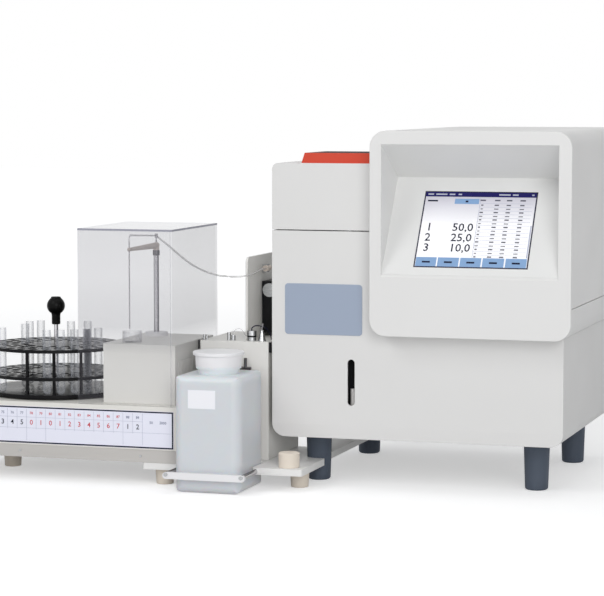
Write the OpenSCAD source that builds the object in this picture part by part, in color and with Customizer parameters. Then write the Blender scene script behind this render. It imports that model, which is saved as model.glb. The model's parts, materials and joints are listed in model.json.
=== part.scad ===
// Flame photometer with its docked sampling station.
// The photometer stands on four rubber feet. A carrier plate in front of its left foot
// carries the dilution module and the right end of the sampler, whose tube carousel turns
// under an arm with a dipping needle. A rinse bottle stands in the notch of the plate.
// Layout: X runs right from the photometer's left side, Y runs back from its lower front
// panel, Z runs up from the bench. All sizes are in millimetres.

/* [Photometer case] */
// Depth of the lower case
body_d = 420; // [360:1:460]
// Height of the rubber feet
foot_h = 72.5; // [55:0.5:95]
// Height of the lower case, up to the display housing
body_h = 158.2; // [150:0.1:190]
// Height of the fixed part of the burner tower above the lower case
tower_h = 149.3; // [135:0.1:170]
// Width of the burner tower
tower_w = 160; // [150:1:175]
// Outer radius along the lower edges of the case
edge_r = 19.5; // [10:0.5:28]
// Thickness of the folded sheet metal
sheet_t = 2; // [1:0.1:3]
// Thickness of the front panel
panel_t = 3; // [2:0.1:5]
// Height of the level slot's lower end above the case bottom
slot_z = 49.8; // [40:0.1:60]
// Length of the level slot
slot_l = 68.6; // [50:0.1:75]
// Width of the level slot
slot_w = 10.9; // [8:0.1:12]
// Distance of the level slot's centre from the left side
slot_x = 122.5; // [110:0.5:130]
// Width of the front badge plate
badge_w = 118.9; // [90:0.1:125]
// Height of the front badge plate
badge_h = 75.4; // [55:0.1:80]
// Thickness of the badge plate
badge_t = 1; // [0.5:0.1:2]

/* [Feet] */
// Diameter of a rubber foot at the case
foot_top_d = 39; // [34:0.1:44]
// Diameter of a rubber foot at the bench
foot_low_d = 34.4; // [30:0.1:40]
// Inset of the feet from the sides of the case
foot_inset_x = 52.5; // [48:0.5:60]
// Inset of the feet from the front and back of the case
foot_inset_y = 70; // [66:0.5:85]

/* [Burner hood and chimney] */
// Height of the hinged burner hood
hood_h = 98.2; // [90:0.1:110]
// Gap between the hood and the tower below it
hood_gap = 1.5; // [1:0.1:2.5]
// Radius along the hood's upper left edge
hood_r = 10; // [6:0.5:16]
// Side of the square chimney lid at its base
lid_w = 112; // [100:1:116]
// Height of the chimney lid
lid_h = 15; // [10:0.5:22]
// How far the lid's walls lean in from bottom to top
lid_lean = 3.8; // [2:0.1:5]
// Distance of the burner's axis from the left side of the case
burner_x = 100; // [96:0.5:101]
// Distance of the burner's axis from the front of the case
burner_y = 62; // [60:0.5:70]
// Outer diameter of the flame tube
flame_tube_d = 46; // [36:0.5:54]
// Wall of the flame tube
flame_tube_t = 2; // [1:0.1:3]

/* [Display housing] */
// Width of the display housing
housing_w = 296.6; // [286:0.1:320]
// Height of the display housing
housing_h = 297.9; // [290:0.1:320]
// How far the display housing stands out in front of the case
housing_front = 40; // [36:0.5:50]
// Gap between the burner tower and the display housing
housing_gap = 1; // [0.6:0.1:2]
// How far the display housing stands out past the case's right side
housing_over = 17.6; // [10:0.1:24]
// Radius of the display housing's edges
housing_r = 24; // [15:0.5:30]
// Wall of the display housing
housing_t = 3; // [2:0.1:4]
// Height of the lower tray of the display housing
tray_h = 45.3; // [35:0.1:55]
// Width of the seam between tray and cover
seam = 0.6; // [0.3:0.1:1]
// Depth of the front rim that the cover keeps below the seam
rim_d = 8; // [5:0.5:12]
// Rim left of the display recess
rim_left = 17.5; // [14:0.1:22]
// Rim right of the display recess
rim_right = 19.3; // [14:0.1:22]
// Rim above the display recess
rim_top = 19.6; // [14:0.1:24]
// Height of the recess's lower edge above the housing's bottom
recess_low = 86.3; // [80:0.1:92]
// Depth of the recess
recess_d = 94.8; // [88:0.1:100]
// Drop of the recess's ceiling from front to back
recess_drop = 50.3; // [40:0.1:60]
// Wall of the screen bezel
bezel_t = 2.5; // [1.5:0.1:3.5]

/* [Screen] */
// Width of the touch screen
screen_w = 168.4; // [150:0.1:180]
// Height of the touch screen, measured along its slope
screen_h = 128.9; // [110:0.1:134]
// Distance of the screen's lower edge from the recess's lower edge
screen_lift = 18; // [14:0.1:22]
// Thickness of the display module behind the glass
lcd_t = 12; // [8:0.5:14]

/* [Carrier plate] */
// Thickness of the carrier plate
plate_t = 10; // [8:0.5:11]
// Height of the plate's beige feet
plate_foot_h = 24; // [20:0.5:27]
// How far the plate reaches right, past the photometer's left side
plate_right = 67; // [61:0.5:72]
// How far the plate's rear arm reaches right, under the photometer
plate_under = 58; // [54:0.5:61]
// How far the plate reaches left of the photometer
plate_left = 182; // [170:1:200]
// Distance of the plate's front edge from the photometer's front
plate_front = 67; // [64:0.5:72]
// Gap between the plate's tongue and the photometer's foot
plate_gap = 0.3; // [0.2:0.1:0.9]
// Diameter of the beige feet
beige_foot_d = 29; // [24:0.5:32]
// Diameter of the clamping knob on the plate
knob_d = 30.5; // [26:0.5:34]
// Height of the clamping knob
knob_h = 22; // [16:0.5:26]

/* [Sampler base] */
// Width of the sampler base
base_w = 377.5; // [370:0.5:400]
// Distance of the base's right end from the photometer
base_gap = 123.5; // [121:0.5:128]
// Depth of the sampler base
base_d = 237; // [232:0.5:250]
// Distance of the base's front from the photometer's front
base_front = 69.5; // [68:0.5:75]
// Height of the sampler base
base_h = 84.5; // [78:0.5:95]
// Wall of the sampler base
base_t = 2.5; // [2:0.1:3.5]
// Height of the recessed lower strip
strip_h = 19.3; // [14:0.1:21]
// Inset of the lower strip
strip_inset = 1.5; // [1:0.1:2.5]
// Height of the front label
label_h = 55.8; // [40:0.1:58]
// Distance of the label from the ends of the base
label_inset = 7.5; // [5:0.5:12]
// Thickness of the label
label_t = 0.8; // [0.5:0.1:1.2]

/* [Tube carousel] */
// Outer radius of the carousel
car_r = 104.8; // [104:0.1:106]
// Distance of the carousel's axis from the left end of the base
car_x = 132.5; // [125:0.5:140]
// Distance of the carousel's axis from the front of the base
car_y = 118.5; // [116:0.5:120]
// Thickness of the carousel's plates
tier_t = 5; // [4:0.5:6]
// Height of the middle plate above the bottom plate
tier_mid = 26.6; // [20:0.1:32]
// Height of the top plate above the bottom plate
tier_top = 68.6; // [60:0.1:74]
// Gap between the base and the carousel's bottom plate
car_gap = 3; // [2:0.1:5]
// Radius of the outer ring of tube positions
ring_r = 96.8; // [96:0.1:97]
// Diameter of a sample tube
tube_d = 13; // [11:0.1:13]
// Length of a sample tube
tube_l = 99; // [90:0.5:100]
// Wall of a sample tube
tube_t = 1; // [0.6:0.1:1.4]
// Diameter of the steel rod in the carousel's middle
rod_d = 6.5; // [5:0.1:8]
// Diameter of the carousel's ball knob
ball_d = 28; // [24:0.1:32]
// Height of the ball knob's centre above the top plate
ball_z = 59; // [56:0.5:66]

/* [Sampling arm] */
// Width of the arm housing
arm_box_w = 115.3; // [110:0.1:118]
// Depth of the arm housing
arm_box_d = 171; // [160:0.5:175]
// Height of the arm housing
arm_box_h = 89.7; // [86:0.1:96]
// Distance of the arm housing's front from the base's front
arm_box_y = 23.5; // [20:0.5:26]
// Wall of the arm housing
arm_box_t = 2.5; // [1.5:0.1:3]
// Diameter of the lift rod
lift_d = 8.2; // [7:0.1:9]
// Distance of the lift rod from the arm housing's right side
lift_x = 82.5; // [80:0.5:84]
// Distance of the lift rod from the arm housing's front
lift_y = 140; // [138:0.5:142]
// Depth of the arm's upper side below the top of the acrylic cover
arm_drop = 34.2; // [32:0.1:36]
// Distance from the lift rod to the needle
arm_l = 108; // [107:0.5:109]
// Diameter of the needle
needle_d = 1.8; // [1.2:0.1:2.4]
// Diameter of the arm where it rests on the lift rod
arm_hub_d = 10.4; // [9:0.1:12]
// Diameter of the arm at the needle
arm_tip_d = 5.2; // [4:0.1:7]
// Travel of the arm from the needle's rest down to its lowest point
lift_travel = 85; // [60:1:88]
// Diameter of the rinse cup
cup_d = 30; // [27:0.5:31]
// Height of the rinse cup above the arm housing
cup_h = 16.8; // [12:0.1:17]
// Clearance around shafts and rods that turn or slide
run_gap = 0.05; // [0.02:0.01:0.09]

/* [Acrylic cover] */
// Width of the acrylic cover
cover_w = 150; // [149:0.5:152]
// Depth of the acrylic cover
cover_d = 202.5; // [198:0.5:206]
// Height of the acrylic cover
cover_h = 263.4; // [258:0.1:280]
// Wall of the acrylic cover
cover_t = 3; // [2:0.1:3.2]
// Distance of the cover's right wall from the base's right end
cover_x = 9; // [8:0.5:9.5]

/* [Rinse bottle] */
// Width of the bottle
bottle_w = 102; // [90:0.5:103]
// Depth of the bottle
bottle_d = 111; // [100:0.5:112]
// Height of the bottle's shoulder
bottle_h = 172; // [150:0.5:180]
// Radius of the bottle's shoulder
bottle_top_r = 9; // [5:0.5:14]
// Radius of the bottle's lower edges
bottle_low_r = 12; // [6:0.5:14]
// Height of the neck that shows below the cap
neck_h = 11.5; // [6:0.5:14]
// Gap between the bottle and the sides of the plate's notch
notch_gap = 2; // [1:0.1:4]
// Radius of the bottle's upright edges
bottle_r = 14; // [8:0.5:20]
// Wall of the bottle
bottle_t = 1.8; // [1.2:0.1:2.5]
// Diameter of the bottle's neck
neck_d = 61; // [50:0.5:66]
// Diameter of the cap's rim
cap_d = 76; // [72:0.5:80]
// Height of the cap
cap_h = 20.5; // [18:0.5:26]
// Distance of the bottle's centre from the photometer's left side
bottle_x = 62.3; // [61.5:0.1:64]
// Distance of the bottle's centre from the photometer's front
bottle_y = 62.5; // [61:0.5:64]
// Height of the white holder bar
bar_h = 9.8; // [7:0.1:12]
// Thickness of the white holder bar
bar_t = 7; // [5:0.5:9]
// Diameter of the holder's two rods
bar_rod_d = 7; // [5:0.5:8]

/* [Dilution module] */
// Width of the dilution module
mod_w = 108; // [100:0.5:110]
// Depth of the dilution module
mod_d = 150; // [146:1:157]
// Height of the dilution module
mod_h = 177.5; // [160:0.5:190]
// Gap between the dilution module and the photometer
mod_gap = 9; // [6:0.5:12]
// Distance of the module's front behind the photometer's front
mod_y = 10; // [6:0.5:14]
// Height of the upright pump plate above the module
fin_h = 125; // [110:0.5:140]
// Thickness of the upright pump plate
fin_t = 4; // [3:0.1:6]
// Distance of the pump plate from the module's right side
fin_x = 41; // [35:0.5:50]
// Diameter of the sample hose
hose_d = 3; // [2:0.1:3.6]

/* [Hidden] */
$fn = 64;

// Colours
shell_white = [0.87, 0.87, 0.86];
sampler_white = [0.83, 0.83, 0.81];
beige = [0.92, 0.86, 0.80];
foot_grey = [0.30, 0.33, 0.37];
lid_red = [0.82, 0.27, 0.18];
near_black = [0.06, 0.06, 0.07];
steel_grey = [0.70, 0.71, 0.72];
clear_grey = [0.80, 0.80, 0.84, 0.35];

// Heights and edges of the photometer
case_top = foot_h + body_h;
tower_top = case_top + tower_h;
hood_z = tower_top + hood_gap;
hood_top = hood_z + hood_h;
housing_x = tower_w + housing_gap;
housing_right = housing_x + housing_w;
body_w = housing_right - housing_over;
housing_top = case_top + housing_h;
rear_in = body_d - panel_t;
rear_out = 28;
rear_y = body_d + rear_out;

// Display recess: a wedge with a sloping ceiling and a sloping back, seen from the side
recess_left = housing_x + rim_left;
recess_right = housing_right - rim_right;
recess_top_z = housing_top - rim_top;
recess_low_z = case_top + recess_low;
recess_back = [recess_d - housing_front, recess_top_z - recess_drop];
slope_rise = recess_back[1] - recess_low_z;
slope_angle = atan2(slope_rise, recess_d);
ceiling_angle = atan2(recess_drop, recess_d);
screen_x = (recess_left + recess_right) / 2;

// Case bottom and burner chamber
case_in_z = foot_h + sheet_t;
shelf_z = case_top - 2;
chamber_r = 25;
chamber_z = shelf_z + 8 + chamber_r;
chamber_front = 32;
chamber_back = 100;
burner_z = chamber_z + chamber_r + 8;
burner_head_h = 14;
flame_z = burner_z + burner_head_h + 3;
flame_tube_top = hood_top - 14;
beam_z = flame_z + 28;
beam_r = 15;

// Chimney opening and lid
vent_w = lid_w - 14;

// Level slot and the siphon behind it
siphon_r = 4.5;
siphon_y = 14;
siphon_top = foot_h + slot_z + slot_l * 0.35;
siphon_back = [burner_x, 44];
siphon_span = norm([slot_x - siphon_back[0], siphon_back[1] - siphon_y]);
siphon_turn = atan2(siphon_back[1] - siphon_y, siphon_back[0] - slot_x);
siphon_bend_z = case_in_z + siphon_span / 2 + siphon_r + 4;

// Rear hinge of the hood
hinge_y = body_d + 6;
hinge_z = tower_top + hood_gap / 2;
hinge_pin_r = 2.5;
hinge_r = 5;
knuckles = [[16, 40], [120, 144]];
hood_knuckle = [40.5, 119.5];

// Rear of the case: switch, mains inlet, fan and hose spigots in one row
rear_z = foot_h + 77.5;
switch_x = body_w - 40;
switch_y = body_d - 5;
switch_z = rear_z;
rocker_w = 19;
rocker_h = 13;
rocker_tilt = 10;
inlet_x = body_w - 100;
inlet_z = rear_z;
inlet_w = 28;
inlet_h = 20;
fan_x = tower_w + 80;
fan_z = rear_z + 10;
fan_half = 30;
fan_d = 25;
fan_hub_r = 11;
vent_r = 4;
vent_rings = [[12, 22], [6, 11]];
spigot_r = 5;
spigot_places = [for (i = [1 : 3]) [i * tower_w / 4, rear_z]];

// Optics beside the burner
optics_x = [housing_x + housing_t + 2, housing_x + 170];
tube_start = burner_x + flame_tube_d / 2 + 4;
lens_t = 4;
lens_x = [tube_start + 3, tube_start + 24, optics_x[0] + 30, optics_x[0] + 60, optics_x[0] + 90];

// Pump, gas valve, power supply and circuit boards on the case bottom
pump_at = [burner_x, body_d - 120];
pump_r = 29;
pump_half = [50, 34];
valve_at = [tower_w + 35, body_d - 90];
valve_half = [22, 20];
supply_low = [tower_w + 72, body_d - 158];
supply_high = [body_w - 68, body_d - 48];
supply_h = 52;
board_t = 1.6;
board_low = [tower_w + 90, 40];
board_high = [body_w - 20, body_d - 200];
deck_low = [housing_x + 24, body_d - 240];
deck_high = [housing_right - 30, body_d - 80];
spacer_r = 3;
spacer_in = 6;

// Cable holes between the case and the display housing
cable_y = body_d / 2;
cable_r = 14;

// Radius of a rubber foot at height z
function foot_r_at(z) = (foot_low_d + (foot_top_d - foot_low_d) * z / foot_h) / 2;

// Heights and edges of the sampling station
plate_z = plate_foot_h;
plate_top = plate_z + plate_t;
base_left = -(base_gap + base_w);
base_right = -base_gap;
base_top = plate_top + base_h;
base_back = base_d - base_front;
notch_r = foot_r_at(plate_top) + plate_gap;
tongue_back = foot_inset_y - notch_r;
under_left = 6;
under_back = body_d - foot_inset_y - notch_r;
notch_half = bottle_w / 2 + notch_gap;
rod_spread = notch_half + 5;
bar_half = rod_spread + bar_h / 2;
bar_gap = 8;
screw_head = 1.5;
bar_back = -(bottle_y + bottle_d / 2 + bar_gap);
bar_front = bar_back - bar_t;
rod_z = plate_z + 4.5;
notch_back = -bottle_y + bottle_d / 2 + run_gap;
mod_left = -(mod_gap + mod_w);
mod_right = -mod_gap;
mod_back = mod_y + mod_d;
mod_top = plate_top + mod_h;
plate_r = 4;

// Carousel and arm
car = [base_left + car_x, car_y - base_front];
car_z = base_top + car_gap;
car_floor = car_z + tier_t;
mid_z = car_z + tier_mid;
top_z = car_z + tier_top;
arm_box_right = base_right - cover_x - cover_t - 1;
arm_box_left = arm_box_right - arm_box_w;
arm_box_front = arm_box_y - base_front;
arm_box_top = base_top + arm_box_h;
column = [arm_box_right - lift_x, arm_box_front + lift_y];
reach_gap = norm(car - column);
inner_r = reach_gap - arm_l;
ring_step = (ring_r - inner_r) / 3;
to_column = atan2(column[1] - car[1], column[0] - car[0]);
ring_counts = [29, 25, 20, 16];
ring_starts = [284.7, 7.2, 9, to_column];
hole_d = tube_d + 0.6;
post_d = 5;
post_gaps = [0, 2, 7, 12, 17, 22, 27];
cap_z = base_top + cover_h;
arm_angle = -91.3;
arm_top = cap_z - arm_drop;
needle_at = column + arm_l * [cos(arm_angle), sin(arm_angle)];
needle_tip = car_floor + tube_l + 2.5;
needle_top = arm_top + 12;
well_r = 7;
well_hole_r = well_r + 3.5;
well_h = needle_tip - lift_travel - 8;
loop_z = arm_top + 15.3;
loop_rise = 6;
loop_r = 5;
barb_drop = 40;
barb_l = 4.6;
loop_tube_r = 1.3;
swivel_r = 2.4;
pin_r = 1.2;
neck_top = bottle_h + neck_h;

// Middle of the whole, so that the origin lies at the middle of its foot print
mid_x = (base_left + housing_right) / 2;
mid_y = (bar_front - screw_head + rear_y) / 2;

// Route of the sample hose: first counted from the swivel on the arm's column,
// then from the fitting on the pump plate
hose_out = [cos(barb_drop), 0, -sin(barb_drop)];
hose_start = [column[0], column[1], loop_z] + barb_l * hose_out;
hose_end = [mod_right - fin_x + 6, mod_y + 93, mod_top + 103.5];
hose_from_start = [[0, 0, 0], [5, 0, -4], [11, 3, -9], [19, 9, -17.5], [29, 16, -28], [43, 25, -41],
    [58, 34, -51], [72, 40, -57], [85, 43, -60.5]];
hose_from_end = [[-75, 28, -15.5], [-65, 12, -14.5], [-56, -9, -13], [-47, -33, -11], [-38, -57, -9],
    [-29, -75, -8], [-20, -83, -7], [-11, -84, -6.5], [-4, -78, -5.5], [0, -65, -4], [0, -47, -2.5],
    [0, -28, -0.5], [0, -13, 0], [0, 0, 0]];
hose_route = concat([for (p = hose_from_start) hose_start + p], [for (p = hose_from_end) hose_end + p]);
hose_sides = 8;

// Places of screws, knob and feet, lift rod and pump plate
foot_bolt_r = 2.8;
foot_places = [for (x = [foot_inset_x, body_w - foot_inset_x])
    for (y = [foot_inset_y, body_d - foot_inset_y]) [x, y]];
strip_screws = [122, 317];
knob_at = [41, -45.5];
knob_bolt_r = 3;
plate_foot_places = [[47, -12], [-155, -42], [-160, 140], [-20, 130]];
rod_low = base_top + 12;
spindle_r = 2.5;
fin_right = mod_right - fin_x;
fin_front = mod_y + 26;
fin_back = mod_back - 4;

// ---------------------------------------------------------------- shared shapes

// Everything is drawn from the photometer's lower front left corner and moved as a whole
module placed() {
    translate([-mid_x, -mid_y, 0]) children();
}

// Box between two opposite corners
module block(a, b) {
    translate(a) cube(b - a);
}

// Outline in the front plane, carried back from y0 to y1
module along_y(y0, y1) {
    translate([0, y1, 0]) rotate([90, 0, 0]) linear_extrude(y1 - y0) children();
}

// Outline seen from the side, carried right from x0 to x1
module along_x(x0, x1) {
    translate([x0, 0, 0]) rotate([90, 0, 90]) linear_extrude(x1 - x0) children();
}

// Rectangle between two corners, its four corners rounded by the radii in r:
// lower left, lower right, upper right, upper left
module panel2d(x0, y0, x1, y1, r = [0, 0, 0, 0]) {
    difference() {
        translate([x0, y0]) square([x1 - x0, y1 - y0]);
        corner_cut([x0, y0], [1, 1], r[0]);
        corner_cut([x1, y0], [-1, 1], r[1]);
        corner_cut([x1, y1], [-1, -1], r[2]);
        corner_cut([x0, y1], [1, -1], r[3]);
    }
}

// What a rounded corner takes off
module corner_cut(p, dir, r) {
    if (r > 0)
        difference() {
            translate(p + dir * (r - 1) / 2) square(r + 1, center = true);
            translate(p + dir * r) circle(r);
        }
}

// Block with rounded upright edges
module rounded_block(a, b, r) {
    translate([0, 0, a[2]])
        linear_extrude(b[2] - a[2]) panel2d(a[0], a[1], b[0], b[1], [r, r, r, r]);
}

// Upright cylinder from z0 to z1
module post(p, r, z0, z1) {
    translate([p[0], p[1], z0]) cylinder(r = r, h = z1 - z0);
}

// Cylinder that lies along X, from x0 to x1
module bar_x(x0, x1, y, z, r) {
    translate([x0, y, z]) rotate([0, 90, 0]) cylinder(r = r, h = x1 - x0);
}

// Cylinder that lies along Y, from y0 to y1
module bar_y(x, y0, y1, z, r) {
    translate([x, y1, z]) rotate([90, 0, 0]) cylinder(r = r, h = y1 - y0);
}

// Cross-head screw head with its shank, standing on the plane z = 0
module screw(head_r, head_t, shank) {
    difference() {
        union() {
            cylinder(r = head_r, h = head_t);
            translate([0, 0, -shank]) cylinder(r = head_r * 0.5, h = shank);
        }
        translate([0, 0, head_t]) cube([head_r * 1.2, head_r * 0.25, head_t], center = true);
        translate([0, 0, head_t]) cube([head_r * 0.25, head_r * 1.2, head_t], center = true);
    }
}

// Places along the sloping screen: x to the right, y up the slope, z out of the screen
module on_slope() {
    translate([screen_x, -housing_front, recess_low_z]) rotate([slope_angle, 0, 0]) children();
}

// ---------------------------------------------------------------- photometer case

// Outline of the front and rear panels
module case_outline() {
    panel2d(0, foot_h, body_w, case_top, [edge_r, edge_r, 0, 0]);
    translate([0, case_top]) square([tower_w, tower_h]);
}

module case_wrap() {
    color(shell_white)
        difference() {
            along_y(panel_t, rear_in)
                difference() {
                    union() {
                        panel2d(0, foot_h, body_w, case_top, [edge_r, edge_r, 0, 0]);
                        translate([0, case_top]) square([sheet_t, tower_h]);
                    }
                    panel2d(sheet_t, case_in_z, body_w - sheet_t, case_top + 1,
                        [edge_r - sheet_t, edge_r - sheet_t, 0, 0]);
                    translate([sheet_t, case_top - 1]) square([2, tower_h + 2]);
                }
            for (p = foot_places) post(p, foot_bolt_r, foot_h - 1, case_in_z + 1);
            for (i = [0 : 7])
                rounded_block([250 + i * 14, 150, foot_h - 1], [256 + i * 14, 220, case_in_z + 1], 3);
        }
}

module front_panel() {
    crease = 1.2;
    color(shell_white)
        difference() {
            intersection() {
                along_y(0, panel_t) case_outline();
                along_x(-1, body_w + 1)
                    polygon([[0, foot_h + edge_r], [crease, foot_h], [panel_t, foot_h],
                        [panel_t, tower_top], [0, tower_top]]);
            }
            along_y(-1, panel_t + 1) slot_outline(slot_w / 2);
        }
}

// Level slot with round ends
module slot_outline(r) {
    translate([slot_x - r, foot_h + slot_z + r]) square([2 * r, slot_l - 2 * r]);
    translate([slot_x, foot_h + slot_z + r]) circle(r);
    translate([slot_x, foot_h + slot_z + slot_l - r]) circle(r);
}

module rear_panel() {
    color(shell_white)
        difference() {
            along_y(rear_in, body_d) case_outline();
            along_y(rear_in - 1, body_d + 1) {
                translate([inlet_x - inlet_w / 2, inlet_z - inlet_h / 2]) square([inlet_w, inlet_h]);
                translate([switch_x - rocker_w / 2 - 2, switch_z - rocker_h / 2 - 2])
                    square([rocker_w + 4, rocker_h + 4]);
                for (p = spigot_places) translate(p) circle(spigot_r);
                for (ring = vent_rings)
                    for (i = [1 : ring[0]])
                        translate([fan_x, fan_z]) rotate(i * 360 / ring[0])
                            translate([ring[1], 0]) circle(vent_r);
                translate([fan_x, fan_z]) circle(vent_r - 0.5);
            }
        }
    color(shell_white)
        for (k = knuckles)
            difference() {
                union() {
                    bar_x(k[0], k[1], hinge_y, hinge_z, hinge_r);
                    block([k[0], body_d, hinge_z - hinge_r], [k[1], hinge_y - 1, hinge_z]);
                    block([k[0], body_d, hinge_z - 20], [k[1], body_d + 2, hinge_z - hinge_r + 2]);
                }
                bar_x(k[0] - 1, k[1] + 1, hinge_y, hinge_z, hinge_pin_r);
            }
}

module burner_bulkhead() {
    color(shell_white) {
        difference() {
            block([tower_w - sheet_t, panel_t, case_in_z], [tower_w, rear_in, tower_top]);
            bar_x(tower_w - sheet_t - 1, tower_w + 1, burner_y, beam_z, beam_r);
            for (y = [150, 250]) bar_x(tower_w - sheet_t - 1, tower_w + 1, y, foot_h + 45, 9);
        }
        difference() {
            block([sheet_t, panel_t, shelf_z], [tower_w - sheet_t, burner_y + 90, shelf_z + 2]);
            post(siphon_back, siphon_r + 1.5, shelf_z - 1, shelf_z + 3);
        }
        for (y = [siphon_back[1] + siphon_r + 2, chamber_back - 14])
            difference() {
                block([burner_x - 20, y, shelf_z + 2], [burner_x + 20, y + 6, chamber_z - 8]);
                bar_y(burner_x, y - 1, y + 7, chamber_z, chamber_r);
            }
    }
}

// ---------------------------------------------------------------- display housing

// Outline of the display housing, drawn in by d
module housing_outline(d) {
    r = housing_r - d;
    panel2d(housing_x + d, case_top + d, housing_right - d, housing_top - d, [r, r, r, r]);
}

// Outline of the recess, grown by d beyond its ceiling and its sloping back
module recess_outline(d) {
    front = -housing_front;
    up = d / cos(ceiling_angle);
    down = d / cos(slope_angle);
    turn = (slope_angle - ceiling_angle) / 2;
    tip = recess_back + d / sin((slope_angle + ceiling_angle) / 2) * [cos(turn), sin(turn)];
    polygon([[front - 1, recess_low_z - down - tan(slope_angle)],
        tip, [front - 1, recess_top_z + up + tan(ceiling_angle)]]);
}

module upper_tray() {
    split = case_top + tray_h;
    front = -housing_front + rim_d + seam;
    color(shell_white)
        difference() {
            intersection() {
                along_y(front, body_d) housing_outline(0);
                block([housing_x, front, case_top], [housing_right, body_d, split]);
            }
            along_y(front + housing_t, rear_in) housing_outline(housing_t);
            for (x = [housing_x + 60, housing_right - 70]) post([x, cable_y], cable_r, case_top - 1, split);
        }
}

module upper_cover() {
    split = case_top + tray_h + seam;
    front = -housing_front;
    color(shell_white)
        difference() {
            along_y(front, body_d) housing_outline(0);
            along_y(front + housing_t, rear_in) housing_outline(housing_t);
            block([housing_x - 1, front + rim_d, case_top - 1], [housing_right + 1, body_d + 1, split]);
            along_x(recess_left, recess_right) recess_outline(0);
            bar_x(housing_x - 1, housing_x + housing_t + 1, burner_y, beam_z, beam_r + 1);
            for (i = [0 : 9])
                block([housing_x + 60 + i * 18, rear_in - 1, housing_top - 110],
                    [housing_x + 66 + i * 18, body_d + 1, housing_top - 40]);
        }
}

module screen_bezel() {
    front = -housing_front + housing_t;
    color(shell_white)
        difference() {
            intersection() {
                along_x(recess_left - bezel_t, recess_right + bezel_t) recess_outline(bezel_t);
                block([recess_left - bezel_t, front, case_top],
                    [recess_right + bezel_t, body_d, housing_top]);
            }
            along_x(recess_left, recess_right) recess_outline(0);
            on_slope() screen_slab(screen_w + 0.2, screen_h + 0.2, -1.6, 10);
            on_slope() screen_slab(screen_w - 8, screen_h - 8, -10, 10);
        }
}

// Rectangle on the sloping back, centred on the screen, from depth z0 to z1
module screen_slab(w, h, z0, z1) {
    translate([-w / 2, screen_lift + (screen_h - h) / 2, z0]) cube([w, h, z1 - z0]);
}

module touch_glass() {
    color([0.75, 0.78, 0.86])
        on_slope() screen_slab(screen_w, screen_h, -1.6, 0);
}

module lcd_module() {
    color(near_black)
        on_slope() {
            screen_slab(screen_w + 10, screen_h + 8, -bezel_t - lcd_t, -bezel_t);
            screen_slab(screen_w - 40, screen_h - 40, -bezel_t - lcd_t - 9, -bezel_t - lcd_t);
        }
}

module badge_plate() {
    x0 = (tower_w - badge_w) / 2;
    z0 = case_top - 4.3;
    color([0.72, 0.77, 0.84])
        along_y(-badge_t, 0) panel2d(x0, z0, x0 + badge_w, z0 + badge_h, [5, 5, 5, 5]);
}

// ---------------------------------------------------------------- siphon behind the level slot

module siphon_channel() {
    z0 = foot_h + slot_z - 10;
    z1 = foot_h + slot_z + slot_l + 12;
    half = slot_w / 2 + 6;
    color(near_black)
        difference() {
            block([slot_x - half, panel_t, z0], [slot_x + half, siphon_y + 10, z1]);
            block([slot_x - half + 3, panel_t - 1, z0 - 1], [slot_x + half - 3, siphon_y + 7, z1 - 4]);
        }
}

module siphon_tube() {
    mid = ([slot_x, siphon_y] + siphon_back) / 2;
    color([0.90, 0.90, 0.88]) {
        post([slot_x, siphon_y], siphon_r, siphon_bend_z, siphon_top);
        post(siphon_back, siphon_r, siphon_bend_z, chamber_z - chamber_r);
        translate([mid[0], mid[1], siphon_bend_z])
            rotate([90, 0, siphon_turn])
                rotate([0, 0, 180])
                    rotate_extrude(angle = 180) translate([siphon_span / 2, 0]) circle(siphon_r);
    }
}

// ---------------------------------------------------------------- hood, lid and grille

module burner_hood() {
    color(shell_white) {
        difference() {
            along_y(0, body_d) panel2d(0, hood_z, tower_w, hood_top, [0, 0, 0, hood_r]);
            along_y(sheet_t, body_d - sheet_t)
                panel2d(sheet_t, hood_z - 1, tower_w - sheet_t, hood_top - sheet_t,
                    [0, 0, 0, hood_r - sheet_t]);
            block([burner_x - vent_w / 2, burner_y - vent_w / 2, hood_top - 5],
                [burner_x + vent_w / 2, burner_y + vent_w / 2, hood_top + 1]);
        }
        difference() {
            union() {
                bar_x(hood_knuckle[0], hood_knuckle[1], hinge_y, hinge_z, hinge_r);
                block([hood_knuckle[0], body_d, hinge_z], [hood_knuckle[1], hinge_y - 1, hinge_z + hinge_r]);
                block([hood_knuckle[0], body_d, hinge_z + hinge_r - 2],
                    [hood_knuckle[1], body_d + 2, hinge_z + 20]);
            }
            bar_x(hood_knuckle[0] - 1, hood_knuckle[1] + 1, hinge_y, hinge_z, hinge_pin_r + run_gap);
        }
    }
}

// Half width of the lid's outline at height z, drawn in by d
function lid_half(d, z) = lid_w / 2 - d - lid_lean * (z - hood_top) / lid_h;

// Pyramid stump on the hood from z0 to z1, drawn in by d
module lid_stump(d, z0, z1) {
    low = lid_half(d, z0);
    high = lid_half(d, z1);
    intersection() {
        along_y(burner_y - lid_w, burner_y + lid_w)
            polygon([[burner_x - low, z0], [burner_x + low, z0],
                [burner_x + high, z1], [burner_x - high, z1]]);
        along_x(burner_x - lid_w, burner_x + lid_w)
            polygon([[burner_y - low, z0], [burner_y + low, z0],
                [burner_y + high, z1], [burner_y - high, z1]]);
    }
}

module chimney_lid() {
    color(lid_red)
        difference() {
            lid_stump(0, hood_top, hood_top + lid_h);
            lid_stump(sheet_t, hood_top - 1, hood_top + lid_h + 1);
        }
}

module chimney_grille() {
    z0 = hood_top + lid_h - 5;
    z1 = hood_top + lid_h;
    color(near_black)
        difference() {
            lid_stump(sheet_t, z0, z1);
            for (i = [-3 : 3])
                block([burner_x - 40, burner_y + i * 12 - 3, z0 - 1],
                    [burner_x + 40, burner_y + i * 12 + 3, z1 + 1]);
        }
}

// ---------------------------------------------------------------- burner, nebuliser and optics

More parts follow.
